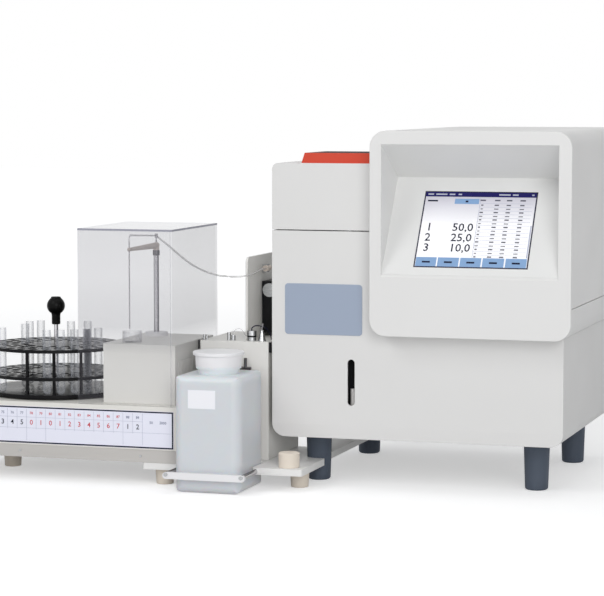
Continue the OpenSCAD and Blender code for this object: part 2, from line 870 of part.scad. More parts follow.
module flame_tube() {
    color(steel_grey)
        difference() {
            post([burner_x, burner_y], flame_tube_d / 2, flame_z, flame_tube_top);
            post([burner_x, burner_y], flame_tube_d / 2 - flame_tube_t, flame_z - 1, flame_tube_top + 1);
            bar_x(burner_x, burner_x + flame_tube_d, burner_y, beam_z, 9);
        }
}

module burner_head() {
    seat_z = chamber_z + chamber_r - 3;
    color(steel_grey) {
        difference() {
            union() {
                post([burner_x, burner_y], 9, seat_z, burner_z);
                post([burner_x, burner_y], 17, burner_z, burner_z + burner_head_h);
                post([burner_x, burner_y], flame_tube_d / 2, burner_z + burner_head_h, flame_z);
            }
            post([burner_x, burner_y], 5, seat_z - 1, burner_z + 6);
            for (a = [0 : 45 : 315])
                post([burner_x + 8 * cos(a), burner_y + 8 * sin(a)], 1.2, burner_z + 5, flame_z + 1);
            post([burner_x, burner_y], 9.5, burner_z + 4, burner_z + 8);
        }
    }
}

module mixing_chamber() {
    seat_z = chamber_z + chamber_r - 3;
    color([0.85, 0.86, 0.86])
        difference() {
            union() {
                bar_y(burner_x, chamber_front, chamber_back, chamber_z, chamber_r);
                post([burner_x, burner_y], 13, chamber_z, chamber_z + chamber_r + 3);
            }
            bar_y(burner_x, chamber_front + 3, chamber_back - 3, chamber_z, chamber_r - 3);
            post([burner_x, burner_y], 5, chamber_z, chamber_z + chamber_r + 4);
            post([burner_x, burner_y], 9, seat_z, chamber_z + chamber_r + 4);
            bar_y(burner_x, chamber_back - 4, chamber_back + 1, chamber_z, 8);
            post(siphon_back, siphon_r - 1.5, chamber_z - chamber_r - 1, chamber_z - chamber_r + 6);
        }
}

module nebuliser() {
    color(steel_grey) {
        difference() {
            union() {
                bar_y(burner_x, chamber_back - 4, chamber_back, chamber_z, 8);
                bar_y(burner_x, chamber_back, chamber_back + 10, chamber_z, 12);
                bar_y(burner_x, chamber_back + 10, chamber_back + 34, chamber_z, 7);
            }
            bar_y(burner_x, chamber_back - 5, chamber_back + 35, chamber_z, 1);
        }
        bar_y(burner_x - 16, chamber_back + 22, chamber_back + 26, chamber_z, 4);
        bar_x(burner_x - 18, burner_x - 5, chamber_back + 24, chamber_z, 2.5);
    }
}

module optics_block() {
    color(near_black)
        difference() {
            union() {
                bar_x(tube_start, optics_x[0] + 1, burner_y, beam_z, beam_r - 0.5);
                block([optics_x[0], burner_y - 24, beam_z - 30], [optics_x[1], burner_y + 26, beam_z + 30]);
                block([optics_x[0] + housing_r, burner_y - 20, case_top + housing_t],
                    [optics_x[1] - 10, burner_y + 22, beam_z - 30]);
            }
            bar_x(tube_start - 1, optics_x[1] - 8, burner_y, beam_z, beam_r - 3);
        }
}

module optics_lenses() {
    color([0.6, 0.7, 0.9, 0.5])
        for (x = lens_x) bar_x(x, x + lens_t, burner_y, beam_z, beam_r - 3);
}

// ---------------------------------------------------------------- electronics and gas supply

// Circuit board from corner a to corner b, with rows of components, on spacers from z0 to z1
module board(a, b, z0, z1, rows) {
    pitch = (b[1] - a[1]) / rows;
    top = z1 + board_t;
    block([a[0], a[1], z1], [b[0], b[1], top]);
    for (i = [0 : rows - 1]) {
        y = a[1] + i * pitch;
        block([a[0] + 8, y + 5, top], [a[0] + 26, y + pitch / 2, top + 5]);
        block([a[0] + 40, y + 4, top], [a[0] + 52, y + pitch / 2 + 3, top + 9]);
    }
    for (x = [a[0] + spacer_in, b[0] - spacer_in]) for (y = [a[1] + spacer_in, b[1] - spacer_in])
        post([x, y], spacer_r, z0, z1);
}

module circuit_boards() {
    low = case_in_z + 10;
    high = case_top + housing_t + 8;
    color([0.10, 0.35, 0.20]) {
        board(board_low, board_high, case_in_z, low, 7);
        board(deck_low, deck_high, case_top + housing_t, high, 6);
    }
}

module power_supply() {
    top = case_in_z + supply_h;
    pitch = (supply_high[0] - supply_low[0] - 20) / 9;
    color(steel_grey)
        difference() {
            block([supply_low[0], supply_low[1], case_in_z], [supply_high[0], supply_high[1], top]);
            for (i = [0 : 8])
                block([supply_low[0] + 12 + i * pitch, supply_low[1] + 20, top - 2],
                    [supply_low[0] + 12 + (i + 0.5) * pitch, supply_high[1] - 20, top + 1]);
        }
}

module air_pump() {
    left = pump_at[0] - pump_half[0];
    axis_z = case_in_z + pump_r + 7;
    head_z = axis_z + pump_r + 5;
    color([0.25, 0.27, 0.30]) {
        block([left, pump_at[1] - pump_half[1], case_in_z],
            [pump_at[0] + pump_half[0], pump_at[1] + pump_half[1], case_in_z + 8]);
        bar_x(left + 4, pump_at[0] + 20, pump_at[1], axis_z, pump_r);
        for (i = [0 : 5]) bar_x(left + 6 + i * 10, left + 10 + i * 10, pump_at[1], axis_z, pump_r + 3);
        block([pump_at[0] + 14, pump_at[1] - pump_half[1] + 4, case_in_z + 7],
            [pump_at[0] + 46, pump_at[1] + pump_half[1] - 4, head_z]);
        for (y = [-12, 12]) post(pump_at + [30, y], 4, head_z, head_z + 12);
    }
}

module gas_valve() {
    body_z = case_in_z + 34;
    color([0.78, 0.66, 0.35]) {
        block([valve_at[0] - valve_half[0], valve_at[1] - valve_half[1], case_in_z],
            [valve_at[0] + valve_half[0], valve_at[1] + valve_half[1], body_z]);
        post(valve_at, 16, body_z, body_z + 40);
        for (s = [-1, 1])
            bar_y(valve_at[0], valve_at[1] + min(s * valve_half[1], s * (valve_half[1] + 16)),
                valve_at[1] + max(s * valve_half[1], s * (valve_half[1] + 16)), case_in_z + 18, 6);
    }
}

module cooling_fan() {
    y0 = rear_in - fan_d;
    color(near_black) {
        difference() {
            block([fan_x - fan_half, y0, fan_z - fan_half], [fan_x + fan_half, rear_in, fan_z + fan_half]);
            bar_y(fan_x, y0 - 1, rear_in + 1, fan_z, fan_half - 2);
        }
        bar_y(fan_x, y0 + 4, rear_in - 3, fan_z, fan_hub_r);
        for (a = [0 : 60 : 300])
            translate([fan_x, 0, fan_z]) rotate([0, a, 0])
                block([fan_hub_r - 1, y0 + 8, -1], [fan_half - 3, y0 + 18, 1]);
        for (a = [30, 150, 270])
            translate([fan_x, 0, fan_z]) rotate([0, a, 0])
                block([0, y0, -2], [fan_half - 1, y0 + 4, 2]);
    }
}

module mains_inlet() {
    color(near_black) {
        difference() {
            union() {
                along_y(body_d, body_d + 2)
                    panel2d(inlet_x - 25, inlet_z - 14, inlet_x + 25, inlet_z + 14, [4, 4, 4, 4]);
                block([inlet_x - inlet_w / 2, body_d - 22, inlet_z - inlet_h / 2],
                    [inlet_x + inlet_w / 2, body_d, inlet_z + inlet_h / 2]);
            }
            block([inlet_x - 12, body_d - 18, inlet_z - 8], [inlet_x + 12, body_d + 3, inlet_z + 8]);
        }
        for (x = [-7, 0, 7])
            block([inlet_x + x - 1, body_d - 19, inlet_z - 2.5],
                [inlet_x + x + 1, body_d - 6, inlet_z + 2.5]);
        switch_frame();
    }
}

// Frame that the rocker of the mains switch tilts in
module switch_frame() {
    w = rocker_w + 4;
    h = rocker_h + 4;
    difference() {
        union() {
            block([switch_x - w / 2 - 2, body_d, switch_z - h / 2 - 2],
                [switch_x + w / 2 + 2, body_d + 2, switch_z + h / 2 + 2]);
            block([switch_x - w / 2, body_d - 18, switch_z - h / 2],
                [switch_x + w / 2, body_d, switch_z + h / 2]);
        }
        block([switch_x - rocker_w / 2 - 0.5, body_d - 14, switch_z - rocker_h / 2 - 0.5],
            [switch_x + rocker_w / 2 + 0.5, body_d + 3, switch_z + rocker_h / 2 + 0.5]);
        bar_x(switch_x - w / 2 - 1, switch_x + w / 2 + 1, switch_y, switch_z, 1.5 + run_gap);
    }
}

module mains_switch() {
    half = rocker_h / 2 - 0.3;
    color(near_black)
        translate([switch_x, switch_y, switch_z]) rotate([-rocker_tilt, 0, 0]) {
            difference() {
                bar_x(-rocker_w / 2, rocker_w / 2, 0, 0, half);
                rotate([-rocker_tilt, 0, 0]) block([-rocker_w, half - 1.2, 0], [rocker_w, 12, 9]);
                rotate([rocker_tilt, 0, 0]) block([-rocker_w, half - 1.2, -9], [rocker_w, 12, 0]);
                block([-rocker_w, -12, -9], [rocker_w, -3, 9]);
            }
            bar_x(-rocker_w / 2 - 2, rocker_w / 2 + 2, 0, 0, 1.5);
        }
}

module hose_spigots() {
    color([0.78, 0.66, 0.35])
        for (p = spigot_places)
            difference() {
                union() {
                    bar_y(p[0], rear_in - 10, body_d, p[1], spigot_r);
                    bar_y(p[0], body_d, body_d + 6, p[1], spigot_r + 3);
                    bar_y(p[0], body_d + 6, rear_y, p[1], spigot_r - 1.5);
                }
                bar_y(p[0], rear_in - 11, rear_y + 1, p[1], 2);
            }
}

module rubber_feet() {
    low_r = foot_low_d / 2;
    edge = 3;
    color(foot_grey)
        for (p = foot_places)
            translate([p[0], p[1], 0])
                rotate_extrude()
                    difference() {
                        polygon([[0, 0], [low_r - edge, 0], [low_r - edge * 0.3, edge * 0.3], [low_r, edge],
                            [foot_r_at(foot_h), foot_h], [0, foot_h]]);
                        translate([-1, foot_h - 20]) square([foot_bolt_r + 1, 21]);
                    }
}

// Screws of the cases, bolts of the feet and the pin of the hood's hinge
module fasteners() {
    color(steel_grey) {
        bar_x(knuckles[0][0] - 1, knuckles[1][1] + 1, hinge_y, hinge_z, hinge_pin_r);
        for (p = foot_places) translate([p[0], p[1], case_in_z]) screw(4.5, 3, 18);
        for (x = [14, body_w - 14]) for (z = [foot_h + 30, case_top - 20])
            translate([x, body_d, z]) rotate([-90, 0, 0]) screw(3.2, 2, 0.1);
        for (x = [strip_screws[0], strip_screws[1]])
            translate([base_left + x, -base_front + strip_inset, plate_top + strip_h / 2])
                rotate([90, 0, 0]) screw(1.8, 1, 4);
        for (s = [-1, 1])
            translate([s * rod_spread - bottle_x, bar_front, rod_z])
                rotate([90, 0, 0]) screw(3, screw_head, 0.1);
    }
}

// ---------------------------------------------------------------- carrier plate and rinse bottle

module carrier_plate() {
    left_arm = -bottle_x - notch_half;
    right_arm = -bottle_x + notch_half;
    color(shell_white)
        difference() {
            union() {
                rounded_block([-plate_left, -plate_front, plate_z], [left_arm, mod_back, plate_top], plate_r);
                rounded_block([right_arm, -plate_front, plate_z],
                    [plate_right, tongue_back, plate_top], plate_r);
                block([left_arm - 2 * plate_r, notch_back, plate_z], [-5, mod_back, plate_top]);
                block([-5 - plate_r, notch_back, plate_z], [right_arm + 2 * plate_r, tongue_back, plate_top]);
                block([-5 - plate_r, tongue_back - 1, plate_z], [plate_under, mod_back, plate_top]);
                block([under_left, mod_back - 1, plate_z], [plate_under, under_back, plate_top]);
            }
            post([foot_inset_x, foot_inset_y], notch_r, plate_z - 1, plate_top + 1);
            block([foot_inset_x, tongue_back, plate_z - 1],
                [plate_right + 1, foot_inset_y + notch_r, plate_top + 1]);
            for (s = [-1, 1])
                bar_y(s * rod_spread - bottle_x, -plate_front - 1, -plate_front + 12, rod_z, bar_rod_d / 2);
            post(knob_at, knob_bolt_r + run_gap, plate_z - 1, plate_top + 1);
        }
}

module plate_feet() {
    low_r = beige_foot_d / 2 - 1.5;
    color(beige) {
        for (p = plate_foot_places) translate([p[0], p[1], 0]) turned_foot(low_r, plate_z);
        translate([base_left + 57, 50, 0]) turned_foot(low_r, plate_top);
    }
}

// Turned foot that widens to the top
module turned_foot(low_r, h) {
    rotate_extrude()
        polygon([[0, 0], [low_r - 1, 0], [low_r, 1], [beige_foot_d / 2, h], [0, h]]);
}

module docking_knob() {
    r = knob_d / 2;
    color(beige) {
        translate([knob_at[0], knob_at[1], plate_top])
            rotate_extrude()
                polygon([[0, 0], [r - 0.5, 0], [r, 0.5], [r + 0.4, knob_h - 1.2],
                    [r - 0.8, knob_h], [0, knob_h]]);
        post(knob_at, knob_bolt_r, plate_z + 1, plate_top);
    }
}

module rinse_bottle() {
    x = [-bottle_x - bottle_w / 2, -bottle_x + bottle_w / 2];
    y = [-bottle_y - bottle_d / 2, -bottle_y + bottle_d / 2];
    color([0.93, 0.93, 0.95, 0.6])
        difference() {
            union() {
                bottle_body(x, y, 0, bottle_h, 0);
                post([-bottle_x, -bottle_y], neck_d / 2, bottle_h - 4, neck_top + cap_h - 6);
                post([-bottle_x, -bottle_y], neck_d / 2 + 3, neck_top - 4, neck_top - 1);
            }
            bottle_body(x, y, bottle_t, bottle_h - bottle_t, bottle_t);
            post([-bottle_x, -bottle_y], neck_d / 2 - bottle_t, bottle_h - 10, neck_top + cap_h);
        }
}

// Bottle body between z0 and z1, drawn in by d, every edge rounded
module bottle_body(x, y, z0, z1, d) {
    ends = [bottle_low_r - d, bottle_low_r - d, bottle_top_r - d, bottle_top_r - d];
    intersection() {
        rounded_block([x[0] + d, y[0] + d, z0], [x[1] - d, y[1] - d, z1], bottle_r - d);
        along_y(y[0], y[1]) panel2d(x[0] + d, z0, x[1] - d, z1, ends);
        along_x(x[0], x[1]) panel2d(y[0] + d, z0, y[1] - d, z1, ends);
    }
}

module bottle_cap() {
    z0 = neck_top;
    color(shell_white)
        translate([-bottle_x, -bottle_y, 0])
            difference() {
                union() {
                    translate([0, 0, z0]) cylinder(r = cap_d / 2 - 4.5, h = cap_h);
                    translate([0, 0, z0 + cap_h - 5]) cylinder(r = cap_d / 2, h = 5);
                    for (a = [0 : 15 : 345])
                        rotate([0, 0, a]) translate([cap_d / 2 - 4.5, 0, z0 + 1])
                            cylinder(r = 1.2, h = cap_h - 5);
                }
                translate([0, 0, z0 - 1]) cylinder(r = neck_d / 2 + 0.4, h = cap_h - 2);
            }
}

module bottle_bar() {
    r = bar_h / 2 - 0.1;
    color(shell_white)
        difference() {
            along_y(bar_front, bar_back)
                panel2d(-bottle_x - bar_half, rod_z - bar_h / 2 - 1.5,
                    -bottle_x + bar_half, rod_z + bar_h / 2 - 1.5, [r, r, r, r]);
            for (s = [-1, 1])
                bar_y(s * rod_spread - bottle_x, bar_back - 4, bar_back + 1, rod_z, bar_rod_d / 2);
        }
}

module bottle_rods() {
    color(steel_grey)
        for (s = [-1, 1])
            bar_y(s * rod_spread - bottle_x, bar_back - 4, -plate_front + 12, rod_z, bar_rod_d / 2);
}

// ---------------------------------------------------------------- sampler

module sampler_base() {
    y0 = -base_front;
    split = plate_top + strip_h;
    color(sampler_white)
        difference() {
            union() {
                block([base_left, y0, split], [base_right, base_back, base_top]);
                block([base_left + strip_inset, y0 + strip_inset, plate_top],
                    [base_right - strip_inset, base_back - strip_inset, split]);
            }
            block([base_left + base_t + strip_inset, y0 + base_t + strip_inset, plate_top + base_t],
                [base_right - base_t - strip_inset, base_back - base_t - strip_inset, base_top - base_t]);
            post(car, 8, base_top - base_t - 1, base_top + 1);
            post(column, lift_d / 2 + 2, base_top - base_t - 1, base_top + 1);
            post(needle_at, well_hole_r, base_top - base_t - 1, base_top + 1);
            for (i = [0 : 9])
                block([base_left + 30 + i * 12, base_back - 5, split + 10],
                    [base_left + 35 + i * 12, base_back + 1, base_top - 14]);
        }
}

module position_label() {
    z1 = base_top - 7.1;
    color([0.90, 0.90, 0.93])
        block([base_left + label_inset, -base_front - label_t, z1 - label_h],
            [base_right - label_inset, -base_front, z1]);
}

module arm_housing() {
    a = [arm_box_left, arm_box_front, base_top];
    b = [arm_box_right, arm_box_front + arm_box_d, arm_box_top];
    t = arm_box_t;
    color(sampler_white)
        difference() {
            block(a, b);
            block([a[0] + t, a[1] + t, a[2] - 1], [b[0] - t, b[1] - t, b[2] - t]);
            for (i = [0 : 10])
                block([b[0] - t - 1, a[1] + 13 + i * 6, a[2] + 43], [b[0] + 1, a[1] + 16 + i * 6, a[2] + 65]);
            post(column, lift_d / 2 + 4, b[2] - t - 1, b[2] + 1);
            post(needle_at, well_hole_r, b[2] - t - 1, b[2] + 1);
        }
}

module acrylic_cover() {
    x = [base_right - cover_x - cover_w, base_right - cover_x];
    y = [-base_front, cover_d - base_front];
    color(clear_grey) {
        block([x[0], y[0], base_top], [x[1], y[0] + cover_t, cap_z]);
        block([x[1] - cover_t, y[0], base_top], [x[1], y[1], cap_z]);
        block([x[0], y[0], cap_z - cover_t], [x[1], y[1], cap_z]);
    }
}

module rinse_well() {
    cup_at = needle_at + [4, 0];
    color([0.88, 0.89, 0.92, 0.6])
        difference() {
            union() {
                post(cup_at, cup_d / 2, arm_box_top, arm_box_top + cup_h);
                post(needle_at, well_r, well_h, arm_box_top + 1);
            }
            post(cup_at, cup_d / 2 - 1.5, arm_box_top + 1.5, arm_box_top + cup_h + 1);
            post(needle_at, well_r - 1.5, well_h + 2, arm_box_top + 5);
        }
}

module column_bush() {
    color(shell_white)
        difference() {
            union() {
                post(column, 17.5, arm_box_top, arm_box_top + 5.5);
                post(column, lift_d / 2 + 4, arm_box_top - 20, arm_box_top);
            }
            post(column, lift_d / 2 + run_gap, arm_box_top - 21, arm_box_top + 7);
        }
}

// Rod with its collar, the spindle that the arm turns on and, above it, the end of the hose
module lift_rod() {
    color(steel_grey) {
        post(column, lift_d / 2, rod_low, arm_top - 15);
        post(column, lift_d / 2 + 1, arm_top - 15, arm_top - 7);
        post(column, spindle_r, arm_top - 7, arm_top + 3);
        post(column, pin_r, arm_top + 2, loop_z);
        post(column, swivel_r, loop_z - 3.5, loop_z + 3);
        translate([column[0], column[1], loop_z]) rotate([0, 90 + barb_drop, 0])
            cylinder(r = pin_r, h = barb_l);
    }
}

module sampling_arm() {
    color(beige)
        difference() {
            union() {
                translate([column[0], column[1], arm_top]) sphere(r = arm_hub_d / 2);
                post(column, arm_hub_d / 2 - 0.5, arm_top - 7, arm_top);
                translate([column[0], column[1], arm_top])
                    rotate([90, 0, 90 + arm_angle])
                        cylinder(r1 = arm_hub_d / 2 - 0.3, r2 = arm_tip_d / 2, h = arm_l);
                translate([needle_at[0], needle_at[1], arm_top]) sphere(r = arm_tip_d / 2 + 0.4);
            }
            post(column, spindle_r + run_gap, arm_top - 8, arm_top + 3.2);
            post(column, pin_r + run_gap, arm_top + 3, arm_top + arm_hub_d);
            post(needle_at, needle_d / 2, arm_top - 8, arm_top + 8);
        }
}

module needle() {
    color(steel_grey) post(needle_at, needle_d / 2, needle_tip, needle_top);
}

// Thin tube from the needle over to the swivel, drawn as distance from the column and height
function loop_arc(c, a0, a1) = [for (i = [0 : 5]) let (a = a0 + (a1 - a0) * i / 5)
    c + loop_r * [cos(a), sin(a)]];
loop_side = concat([[arm_l, needle_top]], loop_arc([arm_l - loop_r, loop_z + loop_rise - loop_r], 0, 90),
    [for (f = [2 / 3, 1 / 3]) [arm_l * f, loop_z + loop_rise * f]], [[swivel_r + run_gap, loop_z]]);
loop_points = [for (p = loop_side)
    [column[0] + p[0] * cos(arm_angle), column[1] + p[0] * sin(arm_angle), p[1]]];

module arm_hose() {
    color([0.85, 0.85, 0.85, 0.6])
        swept_tube(loop_points, loop_tube_r, [0, 0, 1], [-cos(arm_angle), -sin(arm_angle), 0]);
}

// ---------------------------------------------------------------- tube carousel

function ring_radius(k) = ring_r - k * ring_step;

module carousel_disc() {
    color(near_black)
        difference() {
            union() {
                post(car, car_r, car_z, car_floor);
                post(car, 12, base_top + 0.4, car_z);
            }
            post(car, 2.5 + run_gap, base_top - 1, car_z + 1.5);
        }
}

module tube_tiers() {
    color(near_black)
        for (z = [mid_z, top_z])
            difference() {
                post(car, car_r, z, z + tier_t);
                post(car, rod_d / 2, z - 1, z + tier_t + 1);
                translate([0, 0, z - 1]) {
                    for (k = [0 : 3])
                        for (i = [0 : ring_counts[k] - 1])
                            tube_place(k, i) cylinder(r = hole_d / 2, h = tier_t + 2);
                    for (i = post_gaps) tube_place(0, i + 0.5) cylinder(r = post_d / 2, h = tier_t + 2);
                }
            }
}

// Puts its children at place i of ring k; halves lie between two places
module tube_place(k, i) {
    a = ring_starts[k] + i * 360 / ring_counts[k];
    translate([car[0] + ring_radius(k) * cos(a), car[1] + ring_radius(k) * sin(a), 0]) children();
}

module carousel_posts() {
    color(near_black)
        for (i = post_gaps)
            tube_place(0, i + 0.5) translate([0, 0, car_floor])
                cylinder(r = post_d / 2, h = top_z + tier_t - car_floor);
}

module carousel_handle() {
    ball_at = top_z + tier_t + ball_z;
    r = ball_d / 2;
    color(steel_grey) post(car, rod_d / 2, car_floor, ball_at);
    color(near_black)
        difference() {
            union() {
                translate([car[0], car[1], ball_at]) sphere(r = r);
                post(car, r * 0.55, ball_at, ball_at + r * 0.97);
                post(car, r * 0.48, ball_at - ball_d * 1.04, ball_at - r * 0.5);
            }
            post(car, rod_d / 2, car_floor, ball_at);
        }
}

// Places that hold a tube: ring and number
filled = [[0, 0], [0, 1], [0, 2], [0, 3], [0, 4], [0, 25], [2, 3], [2, 7], [2, 8], [3, 3], [3, 8]];

module sample_tubes() {
    color([0.85, 0.88, 0.92, 0.5])
        for (p = filled)
            tube_place(p[0], p[1])
                translate([0, 0, car_floor])
                    difference() {
                        tube_form(tube_d / 2, 0, tube_l);
                        tube_form(tube_d / 2 - tube_t, tube_t, tube_l + 1);
                    }
}

// Round-bottomed rod from z0 to z1
module tube_form(r, z0, z1) {
    translate([0, 0, z0 + r]) sphere(r = r);
    translate([0, 0, z0 + r]) cylinder(r = r, h = z1 - z0 - r);
}

module stepper_motors() {
    low = base_top - 60;
    color([0.2, 0.2, 0.22]) {
        rounded_block([car[0] - 21, car[1] - 21, low], [car[0] + 21, car[1] + 21, low + 38], 3);
        post(car, 11, low + 38, low + 40);
        block([car[0] - 26, car[1] - 26, plate_top + base_t], [car[0] + 26, car[1] + 26, low]);
        rounded_block([column[0] + 22, column[1] - 66, base_top],
            [column[0] + 64, column[1] - 24, base_top + 34], 3);
    }
    color(steel_grey) post(car, 2.5, low + 40, car_z + 1);
}

// ---------------------------------------------------------------- dilution module

module dilutor_housing() {
    t = 2.5;
    color(sampler_white)
        difference() {
            block([mod_left, mod_y, plate_top], [mod_right, mod_back, mod_top]);
            block([mod_left + t, mod_y + t, plate_top - 1], [mod_right - t, mod_back - t, mod_top - t]);
        }
}

head_front = fin_front + 68;
rotor_at = [head_front + 29, mod_top + 66];
rotor_r = 12;

module pump_plate() {
    color(sampler_white)
        along_x(fin_right - fin_t, fin_right)
            panel2d(fin_front, mod_top, fin_back, mod_top + fin_h, [0, 0, 0, 9]);
}

module pump_head() {
    z = [mod_top + 4, mod_top + 84];
    color(near_black)
        difference() {
            block([fin_right, head_front, z[0]], [fin_right + 16, fin_back, z[1]]);
            bar_x(fin_right + 6, fin_right + 17, rotor_at[0], rotor_at[1], rotor_r + 3);
            bar_x(fin_right + 2, fin_right + 7, rotor_at[0], rotor_at[1], 3 + run_gap);
        }
}

module pump_rotor() {
    color(steel_grey) {
        bar_x(fin_right + 2.5, fin_right + 6.5, rotor_at[0], rotor_at[1], 3);
        bar_x(fin_right + 6.5, fin_right + 8.5, rotor_at[0], rotor_at[1], rotor_r);
        bar_x(fin_right + 13.5, fin_right + 15.5, rotor_at[0], rotor_at[1], rotor_r);
        bar_x(fin_right + 6.5, fin_right + 15.5, rotor_at[0], rotor_at[1], 3);
        for (a = [0 : 120 : 240])
            translate([0, rotor_at[0] + (rotor_r - 3) * cos(a), rotor_at[1] + (rotor_r - 3) * sin(a)])
                bar_x(fin_right + 8.5, fin_right + 13.5, 0, 0, 2.5);
    }
}

module dilutor_fittings() {
    tee = [mod_right - 34, mod_y - 6, mod_top - 39.5];
    color(steel_grey) {
        bar_y(tee[0], tee[1], mod_y, tee[2], 2.2);
        bar_x(tee[0] - 8, tee[0] + 8, tee[1], tee[2], 2.2);
        post([tee[0], tee[1]], 2.2, tee[2], tee[2] + 15);
        for (x = [3.5, 8]) post([mod_left + x, mod_y + 8], 1.6, mod_top, mod_top + 8.5);
        post([mod_left + 41, mod_y + 14], 2.6, mod_top, mod_top + 12);
        post([mod_left + 48, mod_y + 14], 3.2, mod_top, mod_top + 8);
        post([mod_right - 32, mod_y + 18], 6.6, mod_top, mod_top + 6);
        post([mod_right - 32, mod_y + 18], 5.8, mod_top + 6, mod_top + 8);
        post([mod_right - 32, mod_y + 18], 7.2, mod_top + 8, mod_top + 15);
        translate([mod_right - 16, mod_y + 18, mod_top]) cylinder(r1 = 6.2, r2 = 2, h = 16);
        bar_y(fin_right + 13.3, head_front - 5, head_front, mod_top + 70.7, 10.5);
    }
    color(beige) {
        bar_y(hose_end[0], hose_end[1], hose_end[1] + 17, hose_end[2], 4.5);
        block([fin_right, hose_end[1] + 3, hose_end[2] - 6],
            [hose_end[0] + 2, hose_end[1] + 14, hose_end[2] + 6]);
    }
}

// ---------------------------------------------------------------- sample hose

// Points between the hand-set ones, on a curve through them all
function spline(a, b, c, d, t) =
    0.5 * (2 * b + (c - a) * t + (2 * a - 5 * b + 4 * c - d) * t * t + (3 * b - a - 3 * c + d) * t * t * t);
function route_at(k, t) =
    spline(hose_route[max(k - 1, 0)], hose_route[k], hose_route[k + 1],
        hose_route[min(k + 2, len(hose_route) - 1)], t);
hose_points = [
    for (k = [0 : len(hose_route) - 2]) for (t = [0, 1 / 3, 2 / 3]) route_at(k, t),
    hose_route[len(hose_route) - 1]
];

module sample_hose() {
    color([0.90, 0.88, 0.84]) swept_tube(hose_points, hose_d / 2, hose_out, [0, 1, 0]);
}

// Direction of a tube at point i of its route; it starts along a and ends along b
function heading(pts, i, a, b) =
    let (last = len(pts) - 1, d = pts[min(i + 1, last)] - pts[max(i - 1, 0)])
    i == 0 ? a : i == last ? b : d / norm(d);

// Pair of directions across the tube at each point, turning as little as possible
function frames(pts, a, b, i, side) =
    let (h = heading(pts, i, a, b), s = side - h * (side * h), n = s / norm(s))
    i == len(pts) - 1 ? [[n, cross(h, n)]] : concat([[n, cross(h, n)]], frames(pts, a, b, i + 1, n));

// Tube of radius r along the points, starting in direction a and ending in direction b
module swept_tube(pts, r, a, b) {
    axes = frames(pts, a, b, 0, cross(a, [0.3, 0.5, 0.8]));
    rings = len(pts);
    skin = [for (i = [0 : rings - 1]) for (j = [0 : hose_sides - 1])
        let (t = j * 360 / hose_sides) pts[i] + r * (axes[i][0] * cos(t) + axes[i][1] * sin(t))];
    sides = [for (i = [0 : rings - 2]) for (j = [0 : hose_sides - 1])
        let (k = (j + 1) % hose_sides)
        [i * hose_sides + j, (i + 1) * hose_sides + j, (i + 1) * hose_sides + k, i * hose_sides + k]];
    near_end = [for (j = [0 : hose_sides - 1]) j];
    far_end = [for (j = [hose_sides - 1 : -1 : 0]) (rings - 1) * hose_sides + j];
    polyhedron(skin, concat(sides, [near_end, far_end]), convexity = 8);
}

// ---------------------------------------------------------------- assembly

placed() case_wrap();
placed() front_panel();
placed() rear_panel();
placed() burner_bulkhead();
placed() upper_tray();
placed() upper_cover();
placed() screen_bezel();
placed() touch_glass();
placed() lcd_module();
placed() badge_plate();
placed() siphon_channel();
placed() siphon_tube();
placed() burner_hood();
placed() chimney_lid();
placed() chimney_grille();
placed() flame_tube();
placed() burner_head();
placed() mixing_chamber();
placed() nebuliser();
placed() optics_block();
placed() optics_lenses();
placed() circuit_boards();
placed() power_supply();
placed() air_pump();
placed() gas_valve();
placed() cooling_fan();
placed() mains_inlet();
placed() mains_switch();
placed() hose_spigots();
placed() rubber_feet();
placed() fasteners();
placed() carrier_plate();
placed() plate_feet();
placed() docking_knob();
placed() sampler_base();
placed() position_label();
placed() arm_housing();
placed() acrylic_cover();
placed() rinse_well();
placed() column_bush();
placed() lift_rod();
placed() sampling_arm();
placed() needle();
placed() arm_hose();
placed() carousel_disc();
placed() tube_tiers();
placed() carousel_posts();
placed() carousel_handle();
placed() sample_tubes();
placed() stepper_motors();
placed() rinse_bottle();
placed() bottle_cap();
placed() bottle_bar();
placed() bottle_rods();
placed() dilutor_housing();
placed() pump_plate();
placed() pump_head();
placed() pump_rotor();
placed() dilutor_fittings();
placed() sample_hose();
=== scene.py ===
# %% [markdown]
# # A bench flame photometer with its docked sampler
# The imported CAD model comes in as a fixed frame. Everything below dresses that frame:
# finishes for the metal, plastic, rubber and glass pieces, and finer meshes where a sharp
# CAD edge or a plain solid would give the eye too little.

